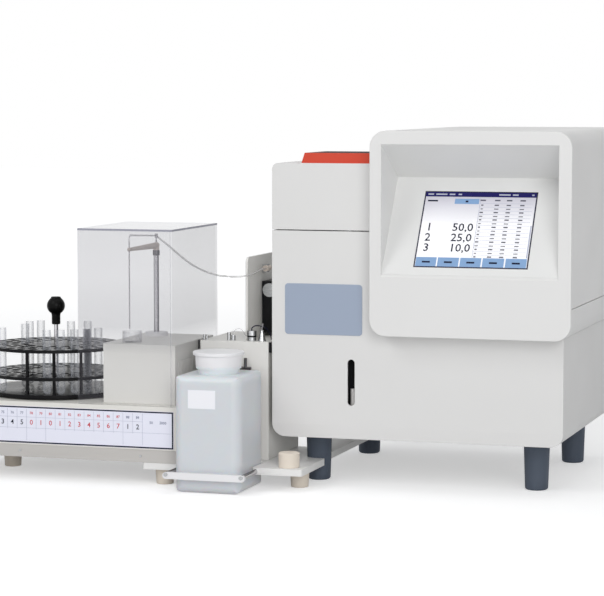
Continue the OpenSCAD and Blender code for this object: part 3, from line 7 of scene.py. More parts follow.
# %% Load the frame
import json
import math
import bmesh
import bpy
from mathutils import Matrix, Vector
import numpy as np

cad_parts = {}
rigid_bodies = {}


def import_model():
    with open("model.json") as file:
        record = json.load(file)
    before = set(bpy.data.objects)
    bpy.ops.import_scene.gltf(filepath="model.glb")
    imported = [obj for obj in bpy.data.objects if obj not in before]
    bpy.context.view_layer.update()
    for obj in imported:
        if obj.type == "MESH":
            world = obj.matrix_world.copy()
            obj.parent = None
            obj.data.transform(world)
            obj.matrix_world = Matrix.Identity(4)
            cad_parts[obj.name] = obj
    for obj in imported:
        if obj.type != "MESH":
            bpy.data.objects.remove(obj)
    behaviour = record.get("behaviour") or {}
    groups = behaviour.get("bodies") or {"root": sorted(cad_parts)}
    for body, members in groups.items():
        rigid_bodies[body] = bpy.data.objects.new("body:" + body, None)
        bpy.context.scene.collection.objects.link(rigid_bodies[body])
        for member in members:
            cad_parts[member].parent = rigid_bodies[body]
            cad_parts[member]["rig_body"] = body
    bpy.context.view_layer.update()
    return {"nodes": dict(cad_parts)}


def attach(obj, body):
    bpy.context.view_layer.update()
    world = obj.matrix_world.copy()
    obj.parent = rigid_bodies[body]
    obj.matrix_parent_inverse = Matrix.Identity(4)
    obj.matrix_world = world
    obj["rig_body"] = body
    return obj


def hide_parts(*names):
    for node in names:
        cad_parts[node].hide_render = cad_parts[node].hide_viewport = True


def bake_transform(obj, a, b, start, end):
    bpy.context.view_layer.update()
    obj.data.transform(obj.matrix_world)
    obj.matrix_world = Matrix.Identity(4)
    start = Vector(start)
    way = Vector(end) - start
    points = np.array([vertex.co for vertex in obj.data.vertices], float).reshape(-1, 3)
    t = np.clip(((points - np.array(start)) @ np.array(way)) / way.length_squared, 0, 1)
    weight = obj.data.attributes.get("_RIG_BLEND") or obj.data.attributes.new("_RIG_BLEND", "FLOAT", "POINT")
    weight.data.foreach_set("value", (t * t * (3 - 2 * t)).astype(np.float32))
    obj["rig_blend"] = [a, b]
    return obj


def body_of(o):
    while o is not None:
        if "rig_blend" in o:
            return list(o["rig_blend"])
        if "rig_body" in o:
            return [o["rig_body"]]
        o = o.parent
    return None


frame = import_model()

# %% [markdown]
# ## Camera
# The photograph was taken from the right and a little above, with a long lens, so upright
# edges stay almost parallel. A 36 mm wide sensor and a 144 mm lens give the same narrow
# view. The camera itself is dipped a little, so its lens needs no shift.

# %% Camera
CAMERA_PLACE = (1.1273, -3.5494, 0.5800)
CAMERA_YAW = math.radians(17.333)
CAMERA_DIP = math.radians(4.822)
LENS_MM = 143.6
SENSOR_MM = 36.0
VIEW_END = 60.0

camera_data = bpy.data.cameras.new("camera")
camera_data.sensor_width = SENSOR_MM
camera_data.sensor_fit = "HORIZONTAL"
camera_data.lens = LENS_MM
camera_data.clip_end = VIEW_END
camera = bpy.data.objects.new("camera", camera_data)
camera.location = CAMERA_PLACE
camera.rotation_euler = (math.pi / 2 - CAMERA_DIP, 0.0, CAMERA_YAW)
bpy.context.scene.collection.objects.link(camera)
bpy.context.scene.camera = camera
print("camera looks from", CAMERA_PLACE)

# %% [markdown]
# ## Places on the bench
# The part's drawing counts in millimetres from the case's front left corner. One small
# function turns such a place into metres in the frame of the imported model, so that every
# number below can be read off the object with a rule.

# %% Bench places
MM = 0.001
BENCH_SHIFT = (21.7, -156.75)


def bench(x, y, z):
    return Vector(((x + BENCH_SHIFT[0]) * MM, (y + BENCH_SHIFT[1]) * MM, z * MM))


print("drawing zero lies at", tuple(round(v, 4) for v in bench(0, 0, 0)))

# %% [markdown]
# ## The hoses
# A thin hose leaves the top of the lift rod, dips behind the clear cover's right wall, swings
# forward and ends at the pump plate. Its far end never moves, while its near end rides down
# with the rod. A mesh tube can bend between two bodies, which a curve object can't, so the
# hose is a mesh: rings of points set square to a smooth line through listed places. A
# shorter loop joins the swivel on the rod to the needle at the arm's tip and turns with the arm.

# %% Tube helper
def smooth_line(points, steps):
    """Points on a smooth curve through the given places, steps to each stretch."""
    points = [Vector(p) for p in points]
    line = []
    for k in range(len(points) - 1):
        a, b = points[max(k - 1, 0)], points[k]
        c, d = points[k + 1], points[min(k + 2, len(points) - 1)]
        for i in range(steps):
            t = i / steps
            line.append(0.5 * (2 * b + (c - a) * t + (2 * a - 5 * b + 4 * c - d) * t ** 2
                               + (3 * b - a - 3 * c + d) * t ** 3))
    return line + [points[-1]]


def line_length(line):
    return sum((b - a).length for a, b in zip(line, line[1:]))


def tube_rings(bm, line, radius, sides=12):
    """Adds a closed tube along a line; each ring is turned as little as possible from the last."""
    rings = []
    side = None
    for i, place in enumerate(line):
        ahead = (line[min(i + 1, len(line) - 1)] - line[max(i - 1, 0)]).normalized()
        if side is None:
            side = ahead.orthogonal().normalized()
        side = (side - side.dot(ahead) * ahead).normalized()
        other = ahead.cross(side)
        rings.append([bm.verts.new(place + radius * (math.cos(a) * side + math.sin(a) * other))
                      for a in (2 * math.pi * s / sides for s in range(sides))])
    for low, high in zip(rings, rings[1:]):
        for s in range(sides):
            bm.faces.new((low[s], low[(s + 1) % sides], high[(s + 1) % sides], high[s]))
    bm.faces.new(rings[0][::-1])
    bm.faces.new(rings[-1])


def finish_mesh(name, bm, smooth_angle=35.0):
    """Turns a bmesh into an object with outward faces and a smooth look below an edge angle."""
    bmesh.ops.recalc_face_normals(bm, faces=bm.faces)
    mesh = bpy.data.meshes.new(name)
    bm.to_mesh(mesh)
    bm.free()
    mesh.shade_smooth()
    mesh.set_sharp_from_angle(angle=math.radians(smooth_angle))
    piece = bpy.data.objects.new(name, mesh)
    bpy.context.scene.collection.objects.link(piece)
    return piece


# %% Sample hose
COLUMN = (-219.0, 94.0)
HOSE_R = 1.5
STRETCH_STEPS = 6
HOSE_START = (-215.476, 94.0, 360.043)
HOSE_END = (-44.0, 103.0, 315.0)
FROM_START = [(0, 0, 0), (5, 0, -4), (11, 3, -9), (19, 9, -17.5), (29, 16, -28), (43, 25, -41),
              (58, 34, -51), (72, 40, -57), (85, 43, -60.5)]
FROM_END = [(-75, 28, -15.5), (-65, 12, -14.5), (-56, -9, -13), (-47, -33, -11), (-38, -57, -9),
            (-29, -75, -8), (-20, -83, -7), (-11, -84, -6.5), (-4, -78, -5.5), (0, -65, -4),
            (0, -47, -2.5), (0, -28, -0.5), (0, -13, 0), (0, 0, 0)]
hose_places = ([bench(*(s + p for s, p in zip(HOSE_START, step))) for step in FROM_START]
               + [bench(*(s + p for s, p in zip(HOSE_END, step))) for step in FROM_END])
hose_line = smooth_line(hose_places, STRETCH_STEPS)
hose_mesh = bmesh.new()
tube_rings(hose_mesh, hose_line, HOSE_R * MM)
sample_hose = finish_mesh("sample_hose_tube", hose_mesh)
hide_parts("sample_hose")
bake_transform(sample_hose, "lift", "stand", start=bench(-200, 94, 340), end=bench(-122, 94, 340))
print("sample hose:", round(line_length(hose_line), 3), "m")

# %% Needle loop
ARM_ANGLE = math.radians(-91.3)
LOOP_TUBE_R = 1.3
LOOP_MID, LOOP_R = (103, 364), 5
LOOP_BEND = [(LOOP_MID[0] + LOOP_R * math.cos(a), LOOP_MID[1] + LOOP_R * math.sin(a))
             for a in (math.radians(18 * i) for i in range(1, 6))]
LOOP_SIDE = [(108, 359.7), (108, 364)] + LOOP_BEND + [(72, 367), (36, 365), (2.45, 363)]
loop_line = [bench(COLUMN[0] + out * math.cos(ARM_ANGLE), COLUMN[1] + out * math.sin(ARM_ANGLE), z)
             for out, z in LOOP_SIDE]
loop_mesh = bmesh.new()
tube_rings(loop_mesh, loop_line, LOOP_TUBE_R * MM)
needle_loop = finish_mesh("needle_loop_tube", loop_mesh)
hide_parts("arm_hose")
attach(needle_loop, "arm")
print("needle loop:", round(line_length(loop_line), 3), "m")

# %% [markdown]
# ## Node helpers
# Materials below are small node trees. These helpers add a node, set its plain sockets and
# join sockets, so that each finish can be read as a short list.

# %% Node helpers
def add_node(tree, kind, **sockets):
    """Adds a node and sets its input sockets by name (underscores stand for spaces)."""
    node = tree.nodes.new(kind)
    for name, value in sockets.items():
        node.inputs[name.replace("_", " ")].default_value = value
    return node


def sum_node(tree, operation, kind="ShaderNodeMath"):
    """A node that does one sum, on plain values or, by its kind, on vectors."""
    node = tree.nodes.new(kind)
    node.operation = operation
    return node


def map_range(tree, low=0.0, high=1.0, to_low=0.0, to_high=1.0):
    return add_node(tree, "ShaderNodeMapRange", From_Min=low, From_Max=high, To_Min=to_low, To_Max=to_high)


def join(tree, source, out_name, target, in_name):
    """Links two sockets, each given by its name or its number."""
    tree.links.new(source.outputs[out_name], target.inputs[in_name])


def new_group(name, inputs, outputs):
    """An empty shader group with named sockets, and its input and output nodes."""
    group = bpy.data.node_groups.new(name, "ShaderNodeTree")
    for label, kind, value in inputs:
        socket = group.interface.new_socket(label, in_out="INPUT", socket_type=kind)
        socket.default_value = value
    for label, kind in outputs:
        group.interface.new_socket(label, in_out="OUTPUT", socket_type=kind)
    return group, group.nodes.new("NodeGroupInput"), group.nodes.new("NodeGroupOutput")


def place_group(tree, group, **sockets):
    node = tree.nodes.new("ShaderNodeGroup")
    node.node_tree = group
    for name, value in sockets.items():
        node.inputs[name.replace("_", " ")].default_value = value
    return node


# %% [markdown]
# ## Shared effects
# Three effects return on many pieces. `tone_drift` lets a colour wander by a few per cent,
# as real paint and moulded plastic do. `fine_grain` is the small relief of powder coat,
# moulded plastic or rubber. `brush_lines` is the long relief that a belt leaves on metal.

# %% Group: tone drift
def make_tone_drift():
    group, entry, out = new_group(
        "tone_drift",
        [("Colour", "NodeSocketColor", (0.8, 0.8, 0.8, 1)), ("Drift", "NodeSocketFloat", 0.03),
         ("Scale", "NodeSocketFloat", 6.0)],
        [("Colour", "NodeSocketColor")])
    place = add_node(group, "ShaderNodeTexCoord")
    noise = add_node(group, "ShaderNodeTexNoise", Detail=3.0, Roughness=0.5)
    centred = sum_node(group, "SUBTRACT")
    centred.inputs[1].default_value = 0.5
    scaled = sum_node(group, "MULTIPLY_ADD")
    scaled.inputs[2].default_value = 1.0
    tint = sum_node(group, "SCALE", "ShaderNodeVectorMath")
    join(group, place, "Object", noise, "Vector")
    join(group, entry, "Scale", noise, "Scale")
    join(group, noise, "Fac", centred, "Value")
    join(group, centred, 0, scaled, 0)
    join(group, entry, "Drift", scaled, 1)
    join(group, entry, "Colour", tint, 0)
    join(group, scaled, 0, tint, "Scale")
    join(group, tint, "Vector", out, "Colour")
    return group


TONE_DRIFT = make_tone_drift()


# %% Group: fine grain
def make_fine_grain():
    group, entry, out = new_group(
        "fine_grain",
        [("Scale", "NodeSocketFloat", 900.0), ("Rough low", "NodeSocketFloat", 0.4),
         ("Rough high", "NodeSocketFloat", 0.5)],
        [("Height", "NodeSocketFloat"), ("Roughness", "NodeSocketFloat")])
    place = add_node(group, "ShaderNodeTexCoord")
    grain = add_node(group, "ShaderNodeTexNoise", Detail=2.0, Roughness=0.55)
    patches = add_node(group, "ShaderNodeTexNoise", Scale=14.0, Detail=4.0)
    spread = map_range(group, 0.3, 0.7)
    join(group, place, "Object", grain, "Vector")
    join(group, place, "Object", patches, "Vector")
    join(group, entry, "Scale", grain, "Scale")
    join(group, patches, "Fac", spread, "Value")
    join(group, entry, "Rough low", spread, "To Min")
    join(group, entry, "Rough high", spread, "To Max")
    join(group, grain, "Fac", out, "Height")
    join(group, spread, "Result", out, "Roughness")
    return group


FINE_GRAIN = make_fine_grain()


# %% Group: brush lines
def make_brush_lines():
    group, entry, out = new_group(
        "brush_lines",
        [("Stretch", "NodeSocketVector", (20.0, 1500.0, 1500.0)), ("Rough low", "NodeSocketFloat", 0.2),
         ("Rough high", "NodeSocketFloat", 0.35)],
        [("Height", "NodeSocketFloat"), ("Roughness", "NodeSocketFloat")])
    place = add_node(group, "ShaderNodeTexCoord")
    stretch = sum_node(group, "MULTIPLY", "ShaderNodeVectorMath")
    lines = add_node(group, "ShaderNodeTexNoise", Scale=1.0, Detail=3.0, Roughness=0.6)
    spread = map_range(group)
    join(group, place, "Object", stretch, 0)
    join(group, entry, "Stretch", stretch, 1)
    join(group, stretch, 0, lines, "Vector")
    join(group, lines, "Fac", spread, "Value")
    join(group, entry, "Rough low", spread, "To Min")
    join(group, entry, "Rough high", spread, "To Max")
    join(group, lines, "Fac", out, "Height")
    join(group, spread, "Result", out, "Roughness")
    return group


BRUSH_LINES = make_brush_lines()
print("groups:", [g.name for g in bpy.data.node_groups])


# %% [markdown]
# ## Finishes
# Every finish starts from one Principled shader. `coated` covers paint, plastic and rubber:
# a drifting colour, a fine relief and a roughness that changes a little from place to
# place. `metal` swaps the relief for brush lines and paints shade where a face turns to one
# direction, and `see_through` thins a finish with Alpha. Gloss and coat stay plain numbers on
# the shader's own sockets.

# %% Finish makers
GRAIN_DEPTH, BRUSH_DEPTH = 0.0004, 0.0002
# A level direction of the bench that runs from left to right in the photograph, near enough
# The metal finishes paint shade where a face turns towards this direction: a painted reflection of a dark
# studio edge.
PAINTED_SHADE_WAY = (0.956, 0.294, 0.0)


def start_material(name):
    material = bpy.data.materials.new(name)
    material.use_nodes = True
    tree = material.node_tree
    return material, tree, tree.nodes["Principled BSDF"]


def coated(name, colour, rough=(0.4, 0.5), drift=0.03, drift_scale=6.0, grain_scale=900.0,
           relief=0.02, coat=0.0, shine=0.5):
    material, tree, shader = start_material(name)
    tone = place_group(tree, TONE_DRIFT, Colour=(*colour, 1), Drift=drift, Scale=drift_scale)
    tone.name = "tone"
    grain = place_group(tree, FINE_GRAIN, Scale=grain_scale, Rough_low=rough[0], Rough_high=rough[1])
    bump = add_node(tree, "ShaderNodeBump", Strength=relief, Distance=GRAIN_DEPTH)
    join(tree, tone, "Colour", shader, "Base Color")
    join(tree, grain, "Roughness", shader, "Roughness")
    join(tree, grain, "Height", bump, "Height")
    join(tree, bump, "Normal", shader, "Normal")
    shader.inputs["Coat Weight"].default_value = coat
    shader.inputs["Coat Roughness"].default_value = 0.15
    shader.inputs["Specular IOR Level"].default_value = shine
    return material


def metal(name, colour, rough=(0.2, 0.35), stretch=(20.0, 1500.0, 1500.0), relief=0.03,
          band=PAINTED_SHADE_WAY, dark=0.35):
    """Brushed or polished metal with painted shade. Where a face turns towards the band's direction
    its colour is painted darker, a painted reflection of a dark studio edge such as a polished rod would
    mirror."""
    material, tree, shader = start_material(name)
    tone = place_group(tree, TONE_DRIFT, Colour=(*colour, 1), Drift=0.04, Scale=9.0)
    lines = place_group(tree, BRUSH_LINES, Stretch=stretch, Rough_low=rough[0], Rough_high=rough[1])
    bump = add_node(tree, "ShaderNodeBump", Strength=relief, Distance=BRUSH_DEPTH)
    # Painted shade: the colour darkens as the face's normal turns towards the band's direction.
    facet = add_node(tree, "ShaderNodeNewGeometry")
    lean = sum_node(tree, "DOT_PRODUCT", "ShaderNodeVectorMath")
    lean.inputs[1].default_value = band
    size = sum_node(tree, "ABSOLUTE")
    painted_shade_fall = map_range(tree, 0.45, 0.85, 1.0, dark)
    shade = sum_node(tree, "SCALE", "ShaderNodeVectorMath")
    join(tree, facet, "Normal", lean, 0)
    join(tree, lean, "Value", size, 0)
    join(tree, size, 0, painted_shade_fall, "Value")
    join(tree, tone, "Colour", shade, 0)
    join(tree, painted_shade_fall, "Result", shade, "Scale")
    join(tree, shade, "Vector", shader, "Base Color")
    join(tree, lines, "Roughness", shader, "Roughness")
    join(tree, lines, "Height", bump, "Height")
    join(tree, bump, "Normal", shader, "Normal")
    shader.inputs["Metallic"].default_value = 1.0
    return material


def see_through(name, colour, face_alpha, edge_alpha, blend=0.35):
    """Clear plastic or glass: thin and pale where it faces the eye, denser where it turns away."""
    material = coated(name, colour, rough=(0.03, 0.08), drift=0.02, grain_scale=60.0, relief=0.0)
    tree = material.node_tree
    shader = tree.nodes["Principled BSDF"]
    turn = add_node(tree, "ShaderNodeLayerWeight", Blend=blend)
    spread = map_range(tree, 0.0, 1.0, face_alpha, edge_alpha)
    join(tree, turn, "Facing", spread, "Value")
    join(tree, spread, "Result", shader, "Alpha")
    shader.inputs["IOR"].default_value = 1.49
    return material


def height_mask(tree, low, high, to_low=0.0, to_high=1.0):
    """A mask that goes from one value at a height of the model to another higher up, in metres."""
    place = add_node(tree, "ShaderNodeTexCoord")
    parts = add_node(tree, "ShaderNodeSeparateXYZ")
    spread = map_range(tree, low, high, to_low, to_high)
    join(tree, place, "Object", parts, "Vector")
    join(tree, parts, "Z", spread, "Value")
    return spread


# %% Clear cover finish
CLEAR_BELOW, CLEAR_ABOVE = 0.045, 0.245


def cover_acrylic():
    """A clear sheet that holds a faint grey tint in its upper part and almost none below."""
    material = coated("clear_acrylic", (0.36, 0.355, 0.39), rough=(0.04, 0.08), drift=0.02,
                      grain_scale=60.0, relief=0.0, shine=0.12)
    tree = material.node_tree
    shader = tree.nodes["Principled BSDF"]
    mask = height_mask(tree, 0.196, 0.236, CLEAR_BELOW, CLEAR_ABOVE)
    join(tree, mask, "Result", shader, "Alpha")
    shader.inputs["IOR"].default_value = 1.15
    return material


# %% Screen picture finish
def display_film():
    """The picture's ground: grey lilac below the title bar, clearing to white further down."""
    material, tree, shader = start_material("display_film")
    mask = height_mask(tree, 0.384, 0.434)
    ramp = add_node(tree, "ShaderNodeValToRGB")
    ramp.color_ramp.elements[0].color = (0.93, 0.93, 0.95, 1)
    ramp.color_ramp.elements[1].color = (0.50, 0.49, 0.56, 1)
    ramp.color_ramp.elements[0].position = 0.12
    pixels = add_node(tree, "ShaderNodeTexNoise", Scale=900.0, Detail=1.0)
    place = add_node(tree, "ShaderNodeTexCoord")
    bump = add_node(tree, "ShaderNodeBump", Strength=0.02, Distance=0.0001)
    join(tree, mask, "Result", ramp, "Fac")
    join(tree, place, "Object", pixels, "Vector")
    join(tree, pixels, "Fac", bump, "Height")
    join(tree, bump, "Normal", shader, "Normal")
    join(tree, ramp, "Color", shader, "Base Color")
    join(tree, ramp, "Color", shader, "Emission Color")
    shader.inputs["Emission Strength"].default_value = 0.18
    shader.inputs["Roughness"].default_value = 0.25
    return material


# %% Milky bottle finish
def milky_bottle():
    """Milky plastic: cool in the body, where the liquid stands, and paler in the neck."""
    material = coated("milky_bottle", (0.72, 0.70, 0.73), rough=(0.3, 0.42), drift=0.04,
                      drift_scale=9.0, grain_scale=260.0, relief=0.03)
    tree = material.node_tree
    shader = tree.nodes["Principled BSDF"]
    tone = tree.nodes["tone"]
    level = height_mask(tree, 0.158, 0.180)
    pale = add_node(tree, "ShaderNodeMix")
    pale.data_type = "RGBA"
    pale.inputs[7].default_value = (0.84, 0.84, 0.86, 1)
    join(tree, level, "Result", pale, "Factor")
    join(tree, tone, "Colour", pale, 6)
    join(tree, pale, 2, shader, "Base Color")
    shader.inputs["Subsurface Weight"].default_value = 0.25
    shader.inputs["Subsurface Scale"].default_value = 0.012
    return material


# %% Base finish
def base_paint_with_painted_shade():
    """Sampler paint whose folded lower strip is painted a darker, warmer grey: painted shade for the
    recessed strip.
    """
    material = coated("base_paint_with_painted_shade", (0.78, 0.765, 0.72), rough=(0.45, 0.55), relief=0.05)
    tree = material.node_tree
    shader = tree.nodes["Principled BSDF"]
    level = height_mask(tree, 0.0530, 0.0536)
    strip = add_node(tree, "ShaderNodeMix")
    strip.data_type = "RGBA"
    # Painted shade: below the fold the colour is set to a darker, warmer grey, standing for the recessed
    # strip's shadow.
    strip.inputs[6].default_value = (0.57, 0.55, 0.525, 1)
    join(tree, level, "Result", strip, "Factor")
    join(tree, tree.nodes["tone"], "Colour", strip, 7)
    join(tree, strip, 2, shader, "Base Color")
    return material


# %% The finishes
FINISH = {
    "case_paint": coated("case_paint", (0.75, 0.745, 0.735), rough=(0.42, 0.52), relief=0.05),
    "cover_paint": coated("cover_paint", (0.78, 0.775, 0.765), rough=(0.40, 0.50), relief=0.05),
    "recess_paint": coated("recess_paint", (0.80, 0.80, 0.79), rough=(0.45, 0.55), relief=0.05),
    "sampler_paint": coated("sampler_paint", (0.80, 0.79, 0.76), rough=(0.45, 0.55), relief=0.05),
    "base_paint_with_painted_shade": base_paint_with_painted_shade(),
    "plate_paint": coated("plate_paint", (0.84, 0.835, 0.82), rough=(0.38, 0.48), relief=0.04),
    "foot_rubber": coated("foot_rubber", (0.066, 0.084, 0.115), rough=(0.6, 0.75), drift=0.12,
                          grain_scale=500.0, relief=0.25),
    "beige_plastic": coated("beige_plastic", (0.80, 0.72, 0.62), rough=(0.45, 0.6), drift=0.05, relief=0.08),
    "arm_plastic": coated("arm_plastic", (0.78, 0.68, 0.60), rough=(0.4, 0.5), drift=0.06, relief=0.05),
    "lid_enamel": coated("lid_enamel", (0.62, 0.062, 0.03), rough=(0.35, 0.45), relief=0.04, shine=0.2),
    "black_plastic": coated("black_plastic", (0.012, 0.012, 0.014), rough=(0.3, 0.42), drift=0.1,
                            relief=0.08, shine=0.15),
    "black_gloss": coated("black_gloss", (0.004, 0.004, 0.005), rough=(0.22, 0.34), drift=0.1, relief=0.01,
                          shine=0.12),
    "ball_plastic": coated("ball_plastic", (0.005, 0.005, 0.005), rough=(0.28, 0.4), drift=0.15, relief=0.12,
                           grain_scale=1400.0, shine=0.08),
    "black_heatproof": coated("black_heatproof", (0.01, 0.01, 0.01), rough=(0.6, 0.75), drift=0.15,
                              relief=0.2),
    "white_plastic": coated("white_plastic", (0.86, 0.855, 0.87), rough=(0.35, 0.45), relief=0.04),
    "label_film": coated("label_film", (0.85, 0.86, 0.97), rough=(0.35, 0.45), drift=0.01, relief=0.01),
    "paper_label": coated("paper_label", (0.92, 0.92, 0.96), rough=(0.6, 0.7), drift=0.02, relief=0.05,
                          grain_scale=1800.0),
    "print_navy": coated("print_navy", (0.006, 0.008, 0.03), rough=(0.3, 0.4), drift=0.05, relief=0.01,
                         shine=0.15),
    "print_red": coated("print_red", (0.58, 0.035, 0.05), rough=(0.3, 0.4), drift=0.05, relief=0.01),
    "print_grey": coated("print_grey", (0.16, 0.18, 0.28), rough=(0.3, 0.4), drift=0.05, relief=0.01),
    "title_blue": coated("title_blue", (0.018, 0.016, 0.12), rough=(0.2, 0.3), drift=0.02, relief=0.0,
                         shine=0.1),
    "button_blue": coated("button_blue", (0.24, 0.40, 0.66), rough=(0.2, 0.3), drift=0.03, relief=0.0),
    "rule_grey": coated("rule_grey", (0.50, 0.52, 0.64), rough=(0.2, 0.3), drift=0.02, relief=0.0),
    "mark_grey": coated("mark_grey", (0.12, 0.12, 0.16), rough=(0.2, 0.3), drift=0.1, relief=0.0, shine=0.1),
    "display_film": display_film(),
    "hose_plastic": coated("hose_plastic", (0.74, 0.72, 0.70), rough=(0.2, 0.3), drift=0.04, relief=0.03),
    "sample_hose_film": see_through("sample_hose_film", (0.70, 0.69, 0.68), 0.38, 0.68),
    "fine_hose": see_through("fine_hose", (0.50, 0.49, 0.52), 0.18, 0.75),
    "board_green": coated("board_green", (0.02, 0.16, 0.06), rough=(0.3, 0.45), drift=0.2, drift_scale=60.0),
    "motor_black": coated("motor_black", (0.03, 0.03, 0.035), rough=(0.35, 0.5), relief=0.08),
    "steel": metal("steel", (0.52, 0.53, 0.54)),
    # The rods get stronger painted shade at their sides; the bottle bar's painted shade falls on its
    # downward faces.
    "rod_steel": metal("rod_steel", (0.56, 0.55, 0.57), stretch=(1500.0, 1500.0, 15.0), rough=(0.10, 0.2),
                       dark=0.28),
    "bar_chrome": metal("bar_chrome", (0.62, 0.61, 0.62), stretch=(1500.0, 15.0, 1500.0), rough=(0.08, 0.15),
                        band=(0.25, 0.0, -0.968), dark=0.1),
    "dark_steel": metal("dark_steel", (0.13, 0.125, 0.13), rough=(0.25, 0.35)),
    "aluminium": metal("aluminium", (0.60, 0.60, 0.61), rough=(0.3, 0.45)),
    "brass": metal("brass", (0.68, 0.47, 0.18), rough=(0.2, 0.35)),
    "badge_metal": coated("badge_metal", (0.33, 0.39, 0.50), rough=(0.28, 0.4), drift=0.08, drift_scale=3.0,
                          relief=0.02, coat=0.2),
    "clear_acrylic": cover_acrylic(),
    "acrylic_edge": coated("acrylic_edge", (0.34, 0.34, 0.40), rough=(0.2, 0.3), drift=0.05, relief=0.02,
                           shine=0.3),
    "acrylic_rim": see_through("acrylic_rim", (0.45, 0.45, 0.52), 0.16, 0.22),
    "well_plastic": see_through("well_plastic", (0.62, 0.62, 0.66), 0.05, 0.45),
    "tube_glass": see_through("tube_glass", (0.55, 0.57, 0.62), 0.05, 0.80, blend=0.22),
    "lens_glass": see_through("lens_glass", (0.3, 0.4, 0.6), 0.4, 0.8),
    "milky_bottle": milky_bottle(),
    "screen_glass": coated("screen_glass", (0.016, 0.016, 0.05), rough=(0.05, 0.1), relief=0.0, coat=0.5),
}
print("finishes:", len(FINISH))


# %% [markdown]
# ## Which node wears which finish
# The CAD nodes keep their own shape. Giving an object a material is only a matter of
# filling its material slots, so one table says which node gets which finish.

# %% Dress the nodes
WORN_BY = {
    "case_paint": ["case_wrap", "front_panel", "rear_panel", "burner_hood"],
    "cover_paint": ["upper_tray", "upper_cover"],
    "recess_paint": ["screen_bezel"],
    "base_paint_with_painted_shade": ["sampler_base"],
    "sampler_paint": ["arm_housing", "dilutor_housing", "pump_plate"],
    "plate_paint": ["carrier_plate"],
    "foot_rubber": ["rubber_feet"],
    "beige_plastic": ["plate_feet", "docking_knob"],
    "arm_plastic": ["sampling_arm"],
    "lid_enamel": ["chimney_lid"],
    "black_heatproof": ["chimney_grille", "optics_block"],
    "black_plastic": ["lcd_module", "siphon_channel", "cooling_fan", "mains_inlet", "mains_switch",
                      "pump_head"],
    "black_gloss": ["carousel_disc", "tube_tiers", "carousel_posts"],
    "ball_plastic": ["carousel_handle"],
    "white_plastic": ["bottle_bar", "bottle_cap", "column_bush", "mixing_chamber"],
    "label_film": ["position_label"],
    "hose_plastic": ["siphon_tube", "arm_hose", "sample_hose"],
    "board_green": ["circuit_boards"],
    "motor_black": ["air_pump", "stepper_motors"],
    "steel": ["flame_tube", "burner_head", "nebuliser", "fasteners", "dilutor_fittings"],
    "bar_chrome": ["bottle_rods"],
    "rod_steel": ["lift_rod", "needle"],
    "aluminium": ["burner_bulkhead", "power_supply", "pump_rotor"],
    "brass": ["gas_valve", "hose_spigots"],
    "badge_metal": ["badge_plate"],
    "clear_acrylic": ["acrylic_cover"],
    "well_plastic": ["rinse_well"],
    "tube_glass": ["sample_tubes"],
    "lens_glass": ["optics_lenses"],
    "milky_bottle": ["rinse_bottle"],
    "screen_glass": ["touch_glass"],
}


def wear(piece, finish):
    piece.data.materials.clear()
    piece.data.materials.append(FINISH[finish])


def dress(piece, finish, body):
    """Gives a new piece its finish and the body that it rides on."""
    wear(piece, finish)
    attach(piece, body)
    return piece


for finish, names in WORN_BY.items():
    for name in names:
        wear(frame["nodes"][name], finish)
dressed = sum(len(names) for names in WORN_BY.values())
print("nodes dressed:", dressed, "of", len(frame["nodes"]))
wear(sample_hose, "sample_hose_film")
wear(needle_loop, "fine_hose")


# %% [markdown]
# ## Flat printed parts
# The screen's picture, the position strip and the blank labels are thin layers on a plate.
# One helper lays a slab on any plate: it takes a function that turns two plate coordinates
# and a lift into a place on the bench. Plain digits are text curves, given a little depth,
# turned into a mesh and moved onto the plate in the same way.

# %% Slab and digit helpers
SLAB_SIDES = (
    ((0, 0, 0), (0, 1, 0), (1, 1, 0), (1, 0, 0)), ((0, 0, 1), (1, 0, 1), (1, 1, 1), (0, 1, 1)),
    ((0, 0, 0), (1, 0, 0), (1, 0, 1), (0, 0, 1)), ((0, 1, 0), (0, 1, 1), (1, 1, 1), (1, 1, 0)),
    ((0, 0, 0), (0, 0, 1), (0, 1, 1), (0, 1, 0)), ((1, 0, 0), (1, 1, 0), (1, 1, 1), (1, 0, 1)))
DIGIT_SHARE = 0.72
DIGIT_SWELL = 0.012


def lay_slab(bm, place, low, high, lift):
    """Adds a thin block on a plate, from low to high in the plate's own millimetres."""
    corners = {}
    for i, a in enumerate((low[0], high[0])):
        for j, b in enumerate((low[1], high[1])):
            for k, c in enumerate(lift):
                corners[i, j, k] = bm.verts.new(place(a, b, c))
    for side in SLAB_SIDES:
        bm.faces.new([corners[key] for key in side])


def slab_piece(name, place, slabs, finish, body, lift=(0.0, 0.2)):
    bm = bmesh.new()
    for low, high in slabs:
        lay_slab(bm, place, low, high, lift)
    print(name + ":", len(slabs), "slabs")
    return dress(finish_mesh(name, bm), finish, body)


def digit_piece(name, place, words, finish, body, lift):
    """words holds (text, a, b, height): the middle of the text and its height in millimetres."""
    bm = bmesh.new()
    for text, a, b, height in words:
        curve = bpy.data.curves.new(name + "_type", "FONT")
        curve.body = text
        curve.size = height / DIGIT_SHARE
        curve.resolution_u = 2
        curve.extrude = (lift[1] - lift[0]) / 2
        curve.offset = height * DIGIT_SWELL
        curve.align_x = "CENTER"
        curve.align_y = "CENTER"
        type_object = bpy.data.objects.new(name + "_type", curve)
        bpy.context.scene.collection.objects.link(type_object)
        bpy.context.view_layer.update()
        mesh = bpy.data.meshes.new_from_object(type_object)
        for vertex in mesh.vertices:
            x, y, z = vertex.co
            vertex.co = place(a + x, b + y, z + (lift[0] + lift[1]) / 2)
        bm.from_mesh(mesh)
        bpy.data.objects.remove(type_object)
        bpy.data.curves.remove(curve)
        bpy.data.meshes.remove(mesh)
    print(name + ":", len(words), "words")
    return dress(finish_mesh(name, bm), finish, body)


